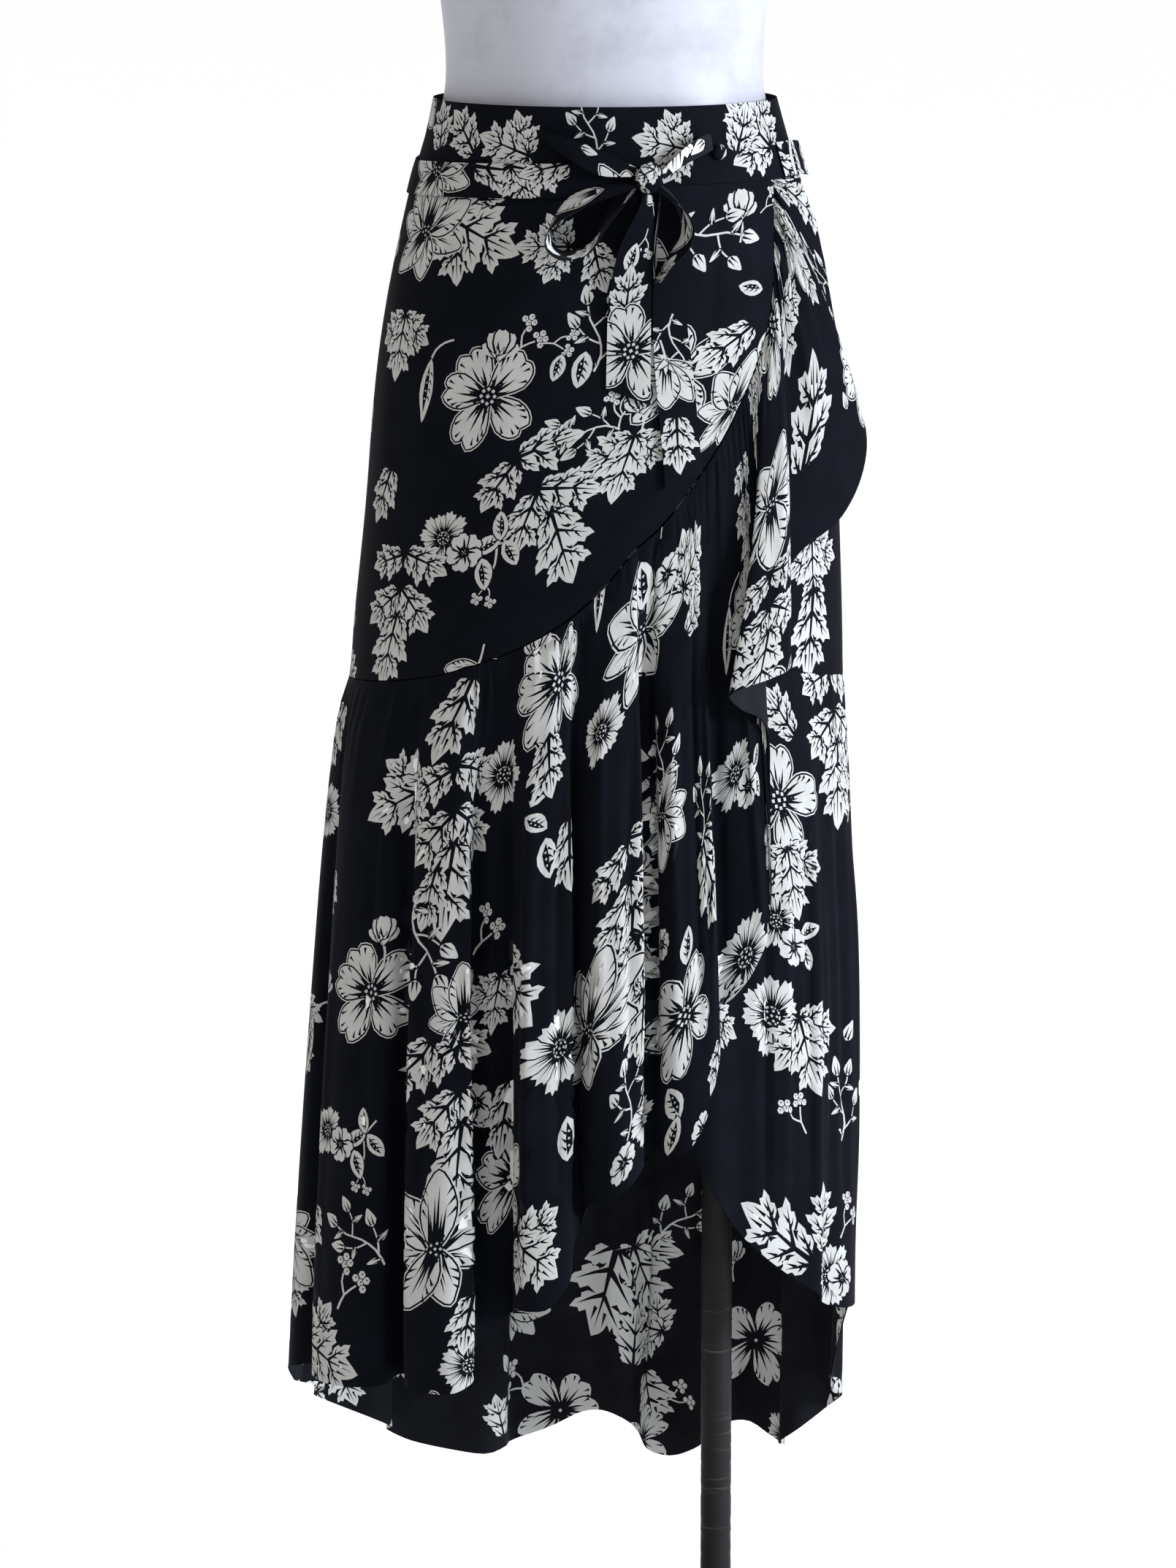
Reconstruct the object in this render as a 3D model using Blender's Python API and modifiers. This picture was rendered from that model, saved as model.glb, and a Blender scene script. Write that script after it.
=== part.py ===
"""A long wrap skirt of printed crepe on a limbless dress form.

Frame: metres, +Z up, origin at the centre of the base's underside. The skirt's front faces -Y.
Tables are in millimetres. An angle is measured round the body in degrees from the front
centre: +90 is the +X side, 180 is the back and -90 (or 270) is the -X side.
"""

import math

import bmesh
import bpy
from mathutils import Vector

# ---------------------------------------------------------------- driving sizes, mm
MM = 0.001  # metres in a millimetre
WALL = 1.5  # wall of the cloth solids
GAP = 0.3  # space left between pieces that meet
SIDE_GAP = 0.1  # degrees that each piece stops short of a side seam
WAIST_TOP = 1268.0  # top edge of the waistband
YOKE_SEAM = 1211.0  # waistband to panel seam
TIE_WALL = 1.2  # wall of the belt and the bow
BELT_HEIGHT = 25.0
BELT_NARROWS = (352, 367)  # the belt narrows into the knot between these angles
BELT_AT_KNOT = 0.38  # and keeps this share of its height there
UNDER_OUT = -6.0  # the under wrap's panel hangs this far inside the outer one
UNDER_COMES_OUT = (60, 86)  # and comes out to the side seam between these angles
POLE_RADIUS = 12.0
POLE_X = 88.0
BASE_RADIUS = 170.0
BASE_HEIGHT = 16.0
FORM_BOTTOM = 1004.0
GATHER_DEPTH = 1.6  # ripple of the gathers just below a seam
GATHER_FADE = 7.0  # how fast the gathers die out down the flounce
GATHER_START = 9.0  # how fast they rise below the seam
ROW_CROWD = 1.15  # rows stand closer together near the seam
FAN_LATE = 1.1  # the columns spread sideways a little later than they fall
FOLD_EARLY = 0.62  # the folds stand out early, below 1, on their way down
FOLD_STEPS = 2  # columns for each row of a fold table
FLOUNCE_STEPS = 8  # quads down each flounce

# The outer cloth round the body. z, half-width at -X and +X, half-depth in front and behind.
RING = ("z", "left", "right", "front", "back")
BODY_RINGS = [
    (1268, 128, 129, 98, 102),
    (1236, 135, 138, 103, 109),
    (1211, 143, 146, 108, 116),
    (1160, 155, 160, 117, 127),
    (1121, 163, 167, 123, 134),
    (1077, 170, 172, 128, 139),
    (1032, 175, 175, 132, 142),
    (959, 181, 178, 138, 145),
    (875, 190, 181, 145, 149),
    (830, 194, 182, 149, 152),
    (797, 202, 184, 153, 155),
    (725, 211, 188, 159, 160),
    (600, 221, 193, 165, 167),
    (440, 232, 193, 168, 172),
    (320, 239, 192, 170, 176),
    (150, 247, 190, 172, 180),
]

# The dress form. z, half-width, half-depth in front and behind.
FORM_RINGS = [
    (1004, 146, 98, 112),
    (1016, 152, 103, 118),
    (1060, 159, 112, 131),
    (1110, 158.5, 111, 131.5),
    (1160, 153.7, 107, 125.6),
    (1205, 140, 99, 112),
    (1240, 129, 92, 99),
    (1272, 120, 87, 89),
    (1300, 119, 87, 87),
    (1335, 122, 92, 88),
    (1375, 128, 102, 92),
    (1420, 137, 115, 96),
    (1455, 145, 119, 99),
    (1490, 152, 112, 101),
    (1525, 163, 100, 101),
    (1560, 172, 86, 97),
    (1588, 165, 72, 88),
    (1608, 128, 60, 75),
    (1622, 84, 52, 62),
    (1636, 58, 48, 54),
    (1660, 52, 47, 50),
    (1700, 50, 46, 48),
]

# The outer wrap's lower seam, from the -X side seam across the front and up to the waistband.
SEAM_POINT = ("angle", "z")
OUTER_SEAM = [
    (-90, 827),
    (-60, 836),
    (-43, 845),
    (-31, 856),
    (-19, 872),
    (-8, 894),
    (1, 921),
    (7, 944),
    (14, 963),
    (24, 1000),
    (32.5, 1036),
    (46, 1107),
    (53, 1170),
    (58, 1204),
    (59, 1211),
]
OUTER_CORNER = 24  # angle where the seam turns from hem line to wrap edge

UNDER_SEAM = [(-8, 915), (0, 905), (30, 866), (60, 842), (90, 829)]
BACK_SEAM = [(90, 829), (135, 820), (180, 815), (225, 819), (270, 827)]

# Flounce folds. Each row: angle on the seam, then the hem point's angle, how far out it stands, z.
FRONT_FOLDS = [
    (-90, -90, 0, 268),
    (-86, -84, 6, 284),
    (-81, -77, 4, 292),
    (-76, -71, -9, 297),
    (-70, -64, 9, 297),
    (-63, -57, 16, 297),
    (-57, -51, 16, 299),
    (-51, -44.5, 11, 302),
    (-47, -42.2, -9, 308),
    (-44, -39.5, -8, 308),
    (-41, -36.8, 10, 306),
    (-37, -32, 17, 306),
    (-33, -27.2, 16, 307),
    (-30, -24.6, 5, 314),
    (-28, -25.2, -11, 330),
    (-25, -22.5, -23, 350),
    (-21, -18.3, -20, 364),
    (-19, -16.6, -3, 372),
    (-16, -13.5, 12, 374),
    (-12, -9.5, 13, 378),
    (-8.5, -6.2, 5, 398),
    (-7, -6.0, -10, 418),
    (-5, -4.2, -13, 440),
    (-3, -2.6, 2, 455),
    (0, 1.0, 13, 461),
    (4, 5.2, 14, 472),
    (7, 8.4, 4, 484),
    (8.6, 9.0, -10, 489),
    (11, 11.6, -12, 492),
    (13, 13.6, 2, 492),
    (16, 17.0, 12, 494),
    (20, 21.6, 14, 520),
    (23, 25.0, 11, 568),
    (25, 26.0, 1, 598),
    (27.5, 29.4, 0, 606),
    (30.5, 33.9, 8, 628),
    (33.5, 37.6, 12, 662),
    (35.5, 37.9, 14, 712),
    (37.2, 38.3, 14, 765),
    (38.8, 37.4, 16, 812),
    (40.3, 30.0, 22, 828),
    (41.8, 26.5, 28, 840),
    (43.5, 30.5, 34, 847),
    (45.6, 36.0, 35, 852),
    (47.6, 41.5, 30, 858),
    (49.0, 42.0, 20, 876),
    (50.2, 43.0, 10, 900),
    (51.4, 47.0, 9, 926),
    (52.6, 52.0, 13, 942),
    (53.8, 56.5, 17, 949),
    (54.8, 63.0, 23, 962),
    (55.7, 70.5, 28, 988),
    (56.4, 74.5, 29, 1016),
    (57.0, 73.5, 24, 1048),
    (57.5, 71.0, 16, 1084),
    (57.9, 71.0, 12, 1120),
    (58.3, 73.0, 9, 1156),
    (58.7, 76.0, 6, 1184),
    (59.0, 78.0, 3.0, 1209.6),
]
UNDER_FOLDS = [
    (-8, -8, -20, 560),
    (0, 1, -26, 550),
    (10, 11, -21, 532),
    (20, 21, -27, 494),
    (27, 28.5, -21, 452),
    (35, 36.5, -25, 420),
    (43, 44.5, -17, 396),
    (51, 53, -13, 377),
    (58, 60, -2, 361),
    (64, 65.5, -8, 350),
    (71, 72, 2, 342),
    (81, 82, 4, 337),
    (90, 90, 0, 335),
]
BACK_FOLDS = [
    (90, 90, 0, 335),
    (94, 95, -5, 305),
    (99, 101, -9, 262),
    (104, 106, -3, 244),
    (109, 111, 12, 236),
    (116, 118, 13, 220),
    (121, 122, -8, 200),
    (127, 128, -12, 186),
    (132, 133, 9, 176),
    (138, 139, 16, 178),
    (144, 144, 10, 188),
    (147, 147, -10, 190),
    (152, 152, -14, 178),
    (156, 157, 8, 160),
    (163, 164, 18, 147),
    (169, 169.5, 13, 152),
    (172, 171.5, -8, 176),
    (177, 177, -14, 190),
    (182, 183, 6, 187),
    (189, 190, 17, 170),
    (196, 197, 13, 162),
    (199, 199.5, -9, 164),
    (204, 204, -15, 161),
    (209, 210, 5, 162),
    (216, 217, 16, 170),
    (223, 223, 12, 184),
    (226, 226, -9, 194),
    (232, 231, -12, 204),
    (237, 237, 8, 216),
    (244, 244, 14, 230),
    (249, 249, -6, 242),
    (255, 254, -8, 250),
    (260, 260, 4, 258),
    (266, 265, -4, 264),
    (270, 270, 0, 268),
]

# The tie belt: angle, height of its middle and how far it stands off the waistband's middle.
BELT_POINT = ("angle", "z", "out")
BELT_LINE = [
    (66, 1225, 1.8),
    (78, 1225, 5.5),
    (92, 1222, 7.0),
    (108, 1220, 3.5),
    (130, 1219, 1.8),
    (200, 1216, 1.8),
    (250, 1211, 1.8),
    (272, 1209.5, 1.8),
    (300, 1211.5, 1.8),
    (330, 1213.5, 1.8),
    (350, 1215, 2.0),
    (361, 1217, 2.8),
    (367.5, 1219, 4.4),
]

# The bow, drawn on the front. x, z and out of one edge of the tie, then of the other edge.
# Where x or z is None, the tie meets the knot there.
KNOT = {"x": 30.0, "z": 1218.0, "out": 11.0, "half": (10.0, 7.0, 12.0)}
KNOT_CLEAR = 1.08  # ties end this far out, counted in half sizes of the knot
LOOP_LEFT_TOP = [
    (None, 1225.5, 10.5, None, 1218.5, 12.5),
    (-6, 1239, 12, -4, 1220, 14),
    (-28, 1247, 11, -24, 1231, 12),
    (-46, 1251.5, 7.6, -45, 1246, 8),
    (-47, 1250.5, 4.6, -46, 1246, 4.6),
    (-29, 1245, 2.2, -25, 1233, 2.6),
    (-7, 1237, 3.2, -5, 1230, 4.6),
    (None, 1225.5, 7.4, None, 1219.5, 7.6),
]
LOOP_LEFT_LOW = [
    (None, 1214.0, 9.5, None, 1211, 13),
    (-2, 1212, 6.5, -2, 1203, 20),
    (-24, 1204, 4.0, -22, 1193, 25),
    (-37, 1188, 1.2, -36, 1181, 26),
    (-40, 1173, 1.2, -38, 1168, 26),
    (-31, 1164, 1.2, -28, 1160, 24),
    (-12, 1169, 1.4, -11, 1164, 21),
    (3, 1187, 3.5, 2, 1184, 17),
    (None, 1211.5, 7.5, None, 1209.5, 10.5),
]
LOOP_RIGHT_TOP = [
    (None, 1223, 10.5, None, 1216.5, 12.0),
    (56, 1240, 13, 55, 1227, 14),
    (69, 1248, 12, 71, 1235, 12.5),
    (74.5, 1246, 8, 76, 1237, 8),
    (71, 1245, 2.4, 72, 1234, 2.4),
    (57, 1237, 2.4, 56, 1225, 2.6),
    (None, 1222, 7.4, None, 1216, 7.6),
]
LOOP_RIGHT_LOW = [
    (None, 1212.6, 9, None, 1210.6, 13),
    (48, 1205, 6, 49, 1200, 20),
    (56, 1191, 3.2, 58, 1185, 24),
    (55, 1174, 2.9, 56, 1168, 24),
    (46, 1160, 2.9, 45, 1154, 20),
    (38.5, 1146, 2.9, 37.5, 1141, 14),
    (35.5, 1150, 2.9, 35, 1150, 12),
    (36, 1170, 3.4, 35.5, 1170, 12),
    (38.5, 1192, 6, 38, 1194, 12),
    (None, 1210.4, 9.5, None, 1209.2, 12.5),
]
TAIL_FRONT = [
    (26.5, None, 11.0, 32.5, None, 11.0),
    (23, 1194, 11, 34.5, 1194, 9.5),
    (10, 1166, 9, 33.5, 1166, 9),
    (3, 1130, 5.5, 33, 1130, 7.5),
    (1.5, 1090, 2.6, 33, 1090, 5.5),
    (1.0, 1064, 1.8, 33, 1052, 4),
]
TAIL_BACK = [
    (33.5, 1205.2, 7.5, 38.5, 1206.8, 7.0),
    (37, 1194, 3.2, 52, 1194, 2.8),
    (36, 1160, 1.8, 60, 1160, 1.8),
    (35, 1113, 1.8, 60, 1113, 1.8),
    (37, 1070, 2.4, 65, 1070, 1.8),
    (41, 1026, 3.6, 69, 1026, 2.2),
    (44, 990, 4.2, 71, 1001, 3.4),
]
BUTTON = {"x": 83.0, "z": 1234.0, "radius": 5.6, "dome": 2.4}

# Linear colour, roughness and metallic of each finish
FINISHES = {
    "crepe_print": ((0.012, 0.012, 0.016), 0.75, 0.0),
    "form_white": ((0.80, 0.81, 0.85), 0.45, 0.0),
    "pole_black": ((0.015, 0.014, 0.013), 0.50, 0.0),
    "base_black": ((0.02, 0.02, 0.02), 0.45, 0.0),
}


# ---------------------------------------------------------------- curves and surfaces
def reader(table, names, key):
    """A function of the table's key column that gives a smooth value of any other column."""
    at = names.index(key)
    keys = [row[at] for row in table]
    rising = keys[-1] > keys[0]

    def value(x, name):
        column = [row[names.index(name)] for row in table]
        if (x <= keys[0]) == rising or x == keys[0]:
            return column[0]
        if (x >= keys[-1]) == rising or x == keys[-1]:
            return column[-1]
        i = next(k for k in range(len(keys) - 1) if (x <= keys[k + 1]) == rising or x == keys[k + 1])
        return hermite(keys, column, i, (x - keys[i]) / (keys[i + 1] - keys[i]))

    return value


def hermite(keys, column, i, part):
    """The curve through the column's values, part of the way from row i to row i + 1."""
    span = keys[i + 1] - keys[i]

    def slope(k):
        a = max(k - 1, 0)
        b = min(k + 1, len(keys) - 1)
        return (column[b] - column[a]) / (keys[b] - keys[a])

    p2 = part * part
    p3 = p2 * part
    return (
        (2 * p3 - 3 * p2 + 1) * column[i]
        + (p3 - 2 * p2 + part) * span * slope(i)
        + (3 * p2 - 2 * p3) * column[i + 1]
        + (p3 - p2) * span * slope(i + 1)
    )


body_ring = reader(BODY_RINGS, RING, "z")


def on_body(angle, z, out):
    """A point on the outer cloth's ring at this angle and height, moved out along its normal."""
    turn = math.radians(angle)
    wide = body_ring(z, "right" if math.sin(turn) > 0 else "left")
    deep = body_ring(z, "front" if math.cos(turn) > 0 else "back")
    x = wide * math.sin(turn)
    y = -deep * math.cos(turn)
    normal = Vector((math.sin(turn) / wide, -math.cos(turn) / deep)).normalized()
    return Vector((x + normal.x * out, y + normal.y * out, z))


def on_front(x, z, out):
    """A point in front of the skirt, by its x and height."""
    wide = body_ring(z, "right" if x > 0 else "left")
    return on_body(math.degrees(math.asin(x / wide)), z, out)


def steps(start, end, count):
    return [start + (end - start) * i / count for i in range(count + 1)]


def eased(x, start, end):
    """0 up to start, 1 past end and a soft step between them."""
    part = min(max((x - start) / (end - start), 0), 1)
    return part * part * (3 - 2 * part)


def material(name):
    found = bpy.data.materials.get(name)
    if found:
        return found
    colour, roughness, metallic = FINISHES[name]
    made = bpy.data.materials.new(name)
    made.use_nodes = True
    shader = made.node_tree.nodes["Principled BSDF"]
    shader.inputs["Base Color"].default_value = (*colour, 1)
    shader.inputs["Roughness"].default_value = roughness
    shader.inputs["Metallic"].default_value = metallic
    return made


def add_object(name, mesh, finish):
    mesh.materials.append(material(finish))
    piece = bpy.data.objects.new(name, mesh)
    PARTS.objects.link(piece)
    return piece


def cloth(name, rows, thickness=WALL):
    """A closed cloth wall on a grid of points. Rows run down, points run with the angle."""
    count = len(rows[0])
    points = [p * MM for row in rows for p in row]
    faces = []
    for r in range(len(rows) - 1):
        for c in range(count - 1):
            i = r * count + c
            faces.append((i, i + count, i + count + 1, i + 1))
    mesh = bpy.data.meshes.new(name)
    mesh.from_pydata(points, [], faces)
    mesh.shade_smooth()
    piece = add_object(name, mesh, "crepe_print")
    wall = piece.modifiers.new("Wall", "SOLIDIFY")
    wall.thickness = thickness * MM
    wall.offset = 0.0
    return piece


def panel(name, angles, top, bottom, out, rows):
    """A smooth panel. top, bottom and out are functions of the angle or of angle and height."""
    grid = []
    for v in steps(0, 1, rows):
        line = []
        for a in angles:
            z = top(a) + (bottom(a) - top(a)) * v
            line.append(on_body(a, z, out(a, z)))
        grid.append(line)
    return cloth(name, grid)


# ---------------------------------------------------------------- flounces
def fold_columns(table):
    """Rows of the fold table with smooth ones worked out between them."""
    order = list(range(len(table)))
    columns = []
    for i in range(len(table) - 1):
        for k in range(FOLD_STEPS):
            part = k / FOLD_STEPS
            columns.append([hermite(order, [row[c] for row in table], i, part) for c in range(4)])
    columns.append(list(table[-1]))
    return columns


def flounce(name, table, seam, base_out):
    """A gathered flounce from the seam curve down to its hem. base_out is its offset at the seam."""
    columns = fold_columns(table)
    last = len(columns) - 1
    grid = []
    for v in steps(0, 1, FLOUNCE_STEPS):
        down = v**ROW_CROWD
        fan = down**FAN_LATE
        stand = down**FOLD_EARLY
        gather = GATHER_DEPTH * min(1.0, v * GATHER_START) * math.exp(-GATHER_FADE * v)
        line = []
        for i, (seam_angle, angle, out, hem) in enumerate(columns):
            ripple = 0.0 if i in (0, last) else gather * math.cos(math.pi * i)
            top = seam(seam_angle)
            inner = base_out(seam_angle)
            a = seam_angle + (angle - seam_angle) * fan
            z = top + (hem - top) * down
            line.append(on_body(a, z, inner + (out - inner) * stand + ripple))
        grid.append(line)
    return cloth(name, grid)


# ---------------------------------------------------------------- the belt's bow
def beside_knot(z, out, side):
    """Where a tie at this height and offset meets the knot, on the side with this sign."""
    wide, deep, high = KNOT["half"]
    rest = KNOT_CLEAR**2 - ((z - KNOT["z"]) / high) ** 2 - ((out - KNOT["out"]) / deep) ** 2
    return KNOT["x"] + side * wide * math.sqrt(rest)


def below_knot(x, out):
    wide, deep, high = KNOT["half"]
    rest = KNOT_CLEAR**2 - ((x - KNOT["x"]) / wide) ** 2 - ((out - KNOT["out"]) / deep) ** 2
    return KNOT["z"] - high * math.sqrt(rest)


def meet_knot(table, side):
    """The table with the places that are left open worked out on the knot."""
    rows = []
    for row in table:
        row = list(row)
        for x in (0, 3):
            if row[x] is None:
                row[x] = beside_knot(row[x + 1], row[x + 2], side)
            if row[x + 1] is None:
                row[x + 1] = below_knot(row[x], row[x + 2])
        rows.append(row)
    return rows


def ribbon(name, table, along=2, across=2):
    """A strip of the tie between two edges drawn in front of the skirt."""
    order = list(range(len(table)))
    grid = []
    for i in range(len(table) - 1):
        for k in range(along if i < len(table) - 2 else along + 1):
            edge = [hermite(order, [row[c] for row in table], i, k / along) for c in range(6)]
            line = []
            for s in steps(0, 1, across):
                x, z, out = (edge[c] + (edge[c + 3] - edge[c]) * s for c in range(3))
                line.append(on_front(x, z, out))
            grid.append(line)
    return cloth(name, grid, TIE_WALL)


def ball(name, centre, half, segments, rings, finish):
    """A round piece of the given half sizes at centre, both in mm."""
    made = bmesh.new()
    bmesh.ops.create_uvsphere(made, u_segments=segments, v_segments=rings, radius=1.0)
    for vert in made.verts:
        vert.co = Vector([c * h * MM for c, h in zip(vert.co, half)])
    mesh = bpy.data.meshes.new(name)
    made.to_mesh(mesh)
    made.free()
    mesh.shade_smooth()
    piece = add_object(name, mesh, finish)
    piece.location = centre * MM
    return piece


# ---------------------------------------------------------------- the stand
def make_form():
    """The torso: rings lofted and closed at both ends."""
    around = 32
    made = bmesh.new()
    rings = []
    for z, wide, front, back in FORM_RINGS:
        ring = []
        for k in range(around):
            turn = 2 * math.pi * k / around
            deep = front if math.cos(turn) > 0 else back
            ring.append(made.verts.new(Vector((wide * math.sin(turn), -deep * math.cos(turn), z)) * MM))
        rings.append(ring)
    for low, high in zip(rings, rings[1:]):
        for k in range(around):
            n = (k + 1) % around
            made.faces.new((low[k], low[n], high[n], high[k]))
    made.faces.new(list(reversed(rings[0])))
    made.faces.new(rings[-1])
    bmesh.ops.recalc_face_normals(made, faces=made.faces)
    mesh = bpy.data.meshes.new("form")
    made.to_mesh(mesh)
    made.free()
    mesh.shade_smooth()
    mesh.set_sharp_from_angle(angle=math.radians(50))
    return add_object("form", mesh, "form_white")


def turned(name, profile, x, finish, around=48):
    """A turned piece on an upright axis at x, from a profile of (radius, z) down its outer side."""
    mesh = bpy.data.meshes.new(name)
    points = [(r * MM, 0, z * MM) for r, z in profile]
    mesh.from_pydata(points, [(i, i + 1) for i in range(len(points) - 1)], [])
    piece = add_object(name, mesh, finish)
    piece.location.x = x * MM
    screw = piece.modifiers.new("Turn", "SCREW")
    screw.steps = around
    screw.render_steps = around
    screw.use_merge_vertices = True
    screw.merge_threshold = 0.00005
    return piece


# ---------------------------------------------------------------- the object
for old in list(bpy.data.objects):
    bpy.data.objects.remove(old, do_unlink=True)
PARTS = bpy.data.collections.new("wrap_skirt")
bpy.context.scene.collection.children.link(PARTS)

make_form()
turned(
    "neck_cap",
    [(0, 1712), (30, 1711), (46, 1707), (48, 1703), (48, 1700 + GAP), (0, 1700 + GAP)],
    0,
    "base_black",
    32,
)
turned(
    "pole",
    [
        (0, FORM_BOTTOM - GAP),
        (POLE_RADIUS, FORM_BOTTOM - GAP),
        (POLE_RADIUS, BASE_HEIGHT + GAP),
        (0, BASE_HEIGHT + GAP),
    ],
    POLE_X,
    "pole_black",
    24,
)
turned(
    "base",
    [
        (0, BASE_HEIGHT),
        (BASE_RADIUS - 8, BASE_HEIGHT),
        (BASE_RADIUS - 2, BASE_HEIGHT - 3),
        (BASE_RADIUS, BASE_HEIGHT - 8),
        (BASE_RADIUS, 2),
        (BASE_RADIUS - 2, 0),
        (0, 0),
    ],
    0,
    "base_black",
)

# Waistband, front and back
outer_seam = reader(OUTER_SEAM, SEAM_POINT, "angle")
under_seam = reader(UNDER_SEAM, SEAM_POINT, "angle")
back_seam = reader(BACK_SEAM, SEAM_POINT, "angle")
FRONT_ANGLES = (-90 + SIDE_GAP, 90 - SIDE_GAP)
BACK_ANGLES = (90 + SIDE_GAP, 270 - SIDE_GAP)


def level(z):
    return lambda a: z


def flat(a, z):
    return 0.0


panel("yoke_front", steps(*FRONT_ANGLES, 30), level(WAIST_TOP), level(YOKE_SEAM + GAP / 2), flat, 3)
panel("yoke_back", steps(*BACK_ANGLES, 30), level(WAIST_TOP), level(YOKE_SEAM + GAP / 2), flat, 3)

# The outer wrap's front panel: its +X side is the wrap edge, which runs in to the lower corner
PANEL_TOP = YOKE_SEAM - GAP / 2
EDGE_ROWS = 10
EDGE_SETBACK = 0.35  # degrees that the panel stops short of the wrap edge's seam


def outer_edge_angle(z):
    """The wrap edge's angle at this height, found on the seam curve."""
    low = OUTER_CORNER
    high = OUTER_SEAM[-1][0]
    for _ in range(30):
        middle = (low + high) / 2
        if outer_seam(middle, "z") < z:
            low = middle
        else:
            high = middle
    return low


def make_panel_front():
    corner = outer_seam(OUTER_CORNER, "z")
    left = FRONT_ANGLES[0]
    grid = []
    for v in steps(0, 1, EDGE_ROWS):
        edge = outer_edge_angle(PANEL_TOP + (corner - PANEL_TOP) * v) - EDGE_SETBACK
        line = []
        for u in steps(0, 1, 30):
            foot = outer_seam(left + (OUTER_CORNER - left) * u, "z") + 2 * GAP
            z = PANEL_TOP + (foot - PANEL_TOP) * v
            line.append(on_body(left + (edge - left) * u, z, 0))
        grid.append(line)
    return cloth("panel_front", grid)


make_panel_front()


def under_out(a, z=0):
    """The under wrap lies inside the outer one and comes out to the side seam."""
    return UNDER_OUT * (1 - eased(a, *UNDER_COMES_OUT))


panel(
    "panel_under",
    steps(-8, FRONT_ANGLES[1], 18),
    level(PANEL_TOP - GAP),
    lambda a: under_seam(a, "z") + GAP / 2,
    under_out,
    6,
)
panel("panel_back", steps(*BACK_ANGLES, 24), level(PANEL_TOP), lambda a: back_seam(a, "z") + GAP / 2, flat, 7)


def inside_sides(table, first, last):
    """The table with its first and last columns stopped short of the side seams."""
    rows = [list(row) for row in table]
    rows[0][:2] = [first, first]
    if last is not None:
        rows[-1][:2] = [last, last]
    return rows


flounce(
    "flounce_front",
    inside_sides(FRONT_FOLDS, FRONT_ANGLES[0], None),
    lambda a: outer_seam(a, "z") - GAP,
    lambda a: 0.0,
)
flounce(
    "flounce_under",
    inside_sides(UNDER_FOLDS, UNDER_FOLDS[0][0], FRONT_ANGLES[1]),
    lambda a: under_seam(a, "z") - GAP / 2,
    under_out,
)
flounce(
    "flounce_back",
    inside_sides(BACK_FOLDS, *BACK_ANGLES),
    lambda a: back_seam(a, "z") - GAP / 2,
    lambda a: 0.0,
)

# The belt runs from the wrap's edge round the back to the knot
belt_line = reader(BELT_LINE, BELT_POINT, "angle")


def make_belt():
    grid = []
    angles = steps(BELT_LINE[0][0], BELT_LINE[-1][0], 72)
    for v in steps(-0.5, 0.5, 2):
        line = []
        for a in angles:
            height = BELT_HEIGHT * (1 - (1 - BELT_AT_KNOT) * eased(a, *BELT_NARROWS))
            line.append(on_body(a, belt_line(a, "z") - v * height, belt_line(a, "out")))
        grid.append(line)
    return cloth("belt", grid, TIE_WALL)


make_belt()
ball(
    "bow_knot",
    on_front(KNOT["x"], KNOT["z"], KNOT["out"]),
    KNOT["half"],
    20,
    12,
    "crepe_print",
)
ribbon("bow_loop_left_top", meet_knot(LOOP_LEFT_TOP, -1))
ribbon("bow_loop_left_low", meet_knot(LOOP_LEFT_LOW, -1))
ribbon("bow_loop_right_top", meet_knot(LOOP_RIGHT_TOP, 1))
ribbon("bow_loop_right_low", meet_knot(LOOP_RIGHT_LOW, 1))
ribbon("bow_tail_front", meet_knot(TAIL_FRONT, 1))
ribbon("bow_tail_back", meet_knot(TAIL_BACK, 1))


def make_button():
    """A low covered dome that lies on the waistband."""
    seat = WALL / 2 + GAP + BUTTON["dome"]
    centre = on_front(BUTTON["x"], BUTTON["z"], seat)
    outward = on_front(BUTTON["x"], BUTTON["z"], seat + 1) - centre
    half = (BUTTON["radius"], BUTTON["dome"], BUTTON["radius"])
    piece = ball("covered_button", centre, half, 16, 8, "crepe_print")
    piece.rotation_euler.z = math.atan2(outward.y, outward.x) + math.pi / 2
    return piece


make_button()
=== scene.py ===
"""The looks of a long wrap skirt of printed crepe, on its limbless dress form.

Units are millimetres until a mesh is made. An angle is measured round the body in degrees
from the front centre: +90 is the +X side, 180 the back and -90 (or 270) the -X side.
"""

import math
import random

import bpy
import numpy as np
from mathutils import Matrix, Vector
from mathutils.geometry import delaunay_2d_cdt


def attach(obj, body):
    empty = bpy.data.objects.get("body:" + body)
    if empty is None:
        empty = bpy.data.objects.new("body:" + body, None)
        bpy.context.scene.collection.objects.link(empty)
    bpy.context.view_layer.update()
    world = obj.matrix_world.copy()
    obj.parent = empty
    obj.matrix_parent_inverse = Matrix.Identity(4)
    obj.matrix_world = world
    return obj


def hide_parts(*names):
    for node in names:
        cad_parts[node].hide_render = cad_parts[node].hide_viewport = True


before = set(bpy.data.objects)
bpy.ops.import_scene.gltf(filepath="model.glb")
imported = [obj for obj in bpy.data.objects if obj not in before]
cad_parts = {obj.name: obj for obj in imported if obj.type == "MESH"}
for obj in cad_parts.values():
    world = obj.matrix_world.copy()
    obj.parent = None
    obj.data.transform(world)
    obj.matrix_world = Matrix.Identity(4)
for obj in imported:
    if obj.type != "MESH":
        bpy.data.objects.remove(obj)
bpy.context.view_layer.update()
MM = 0.001  # metres in a millimetre

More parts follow.
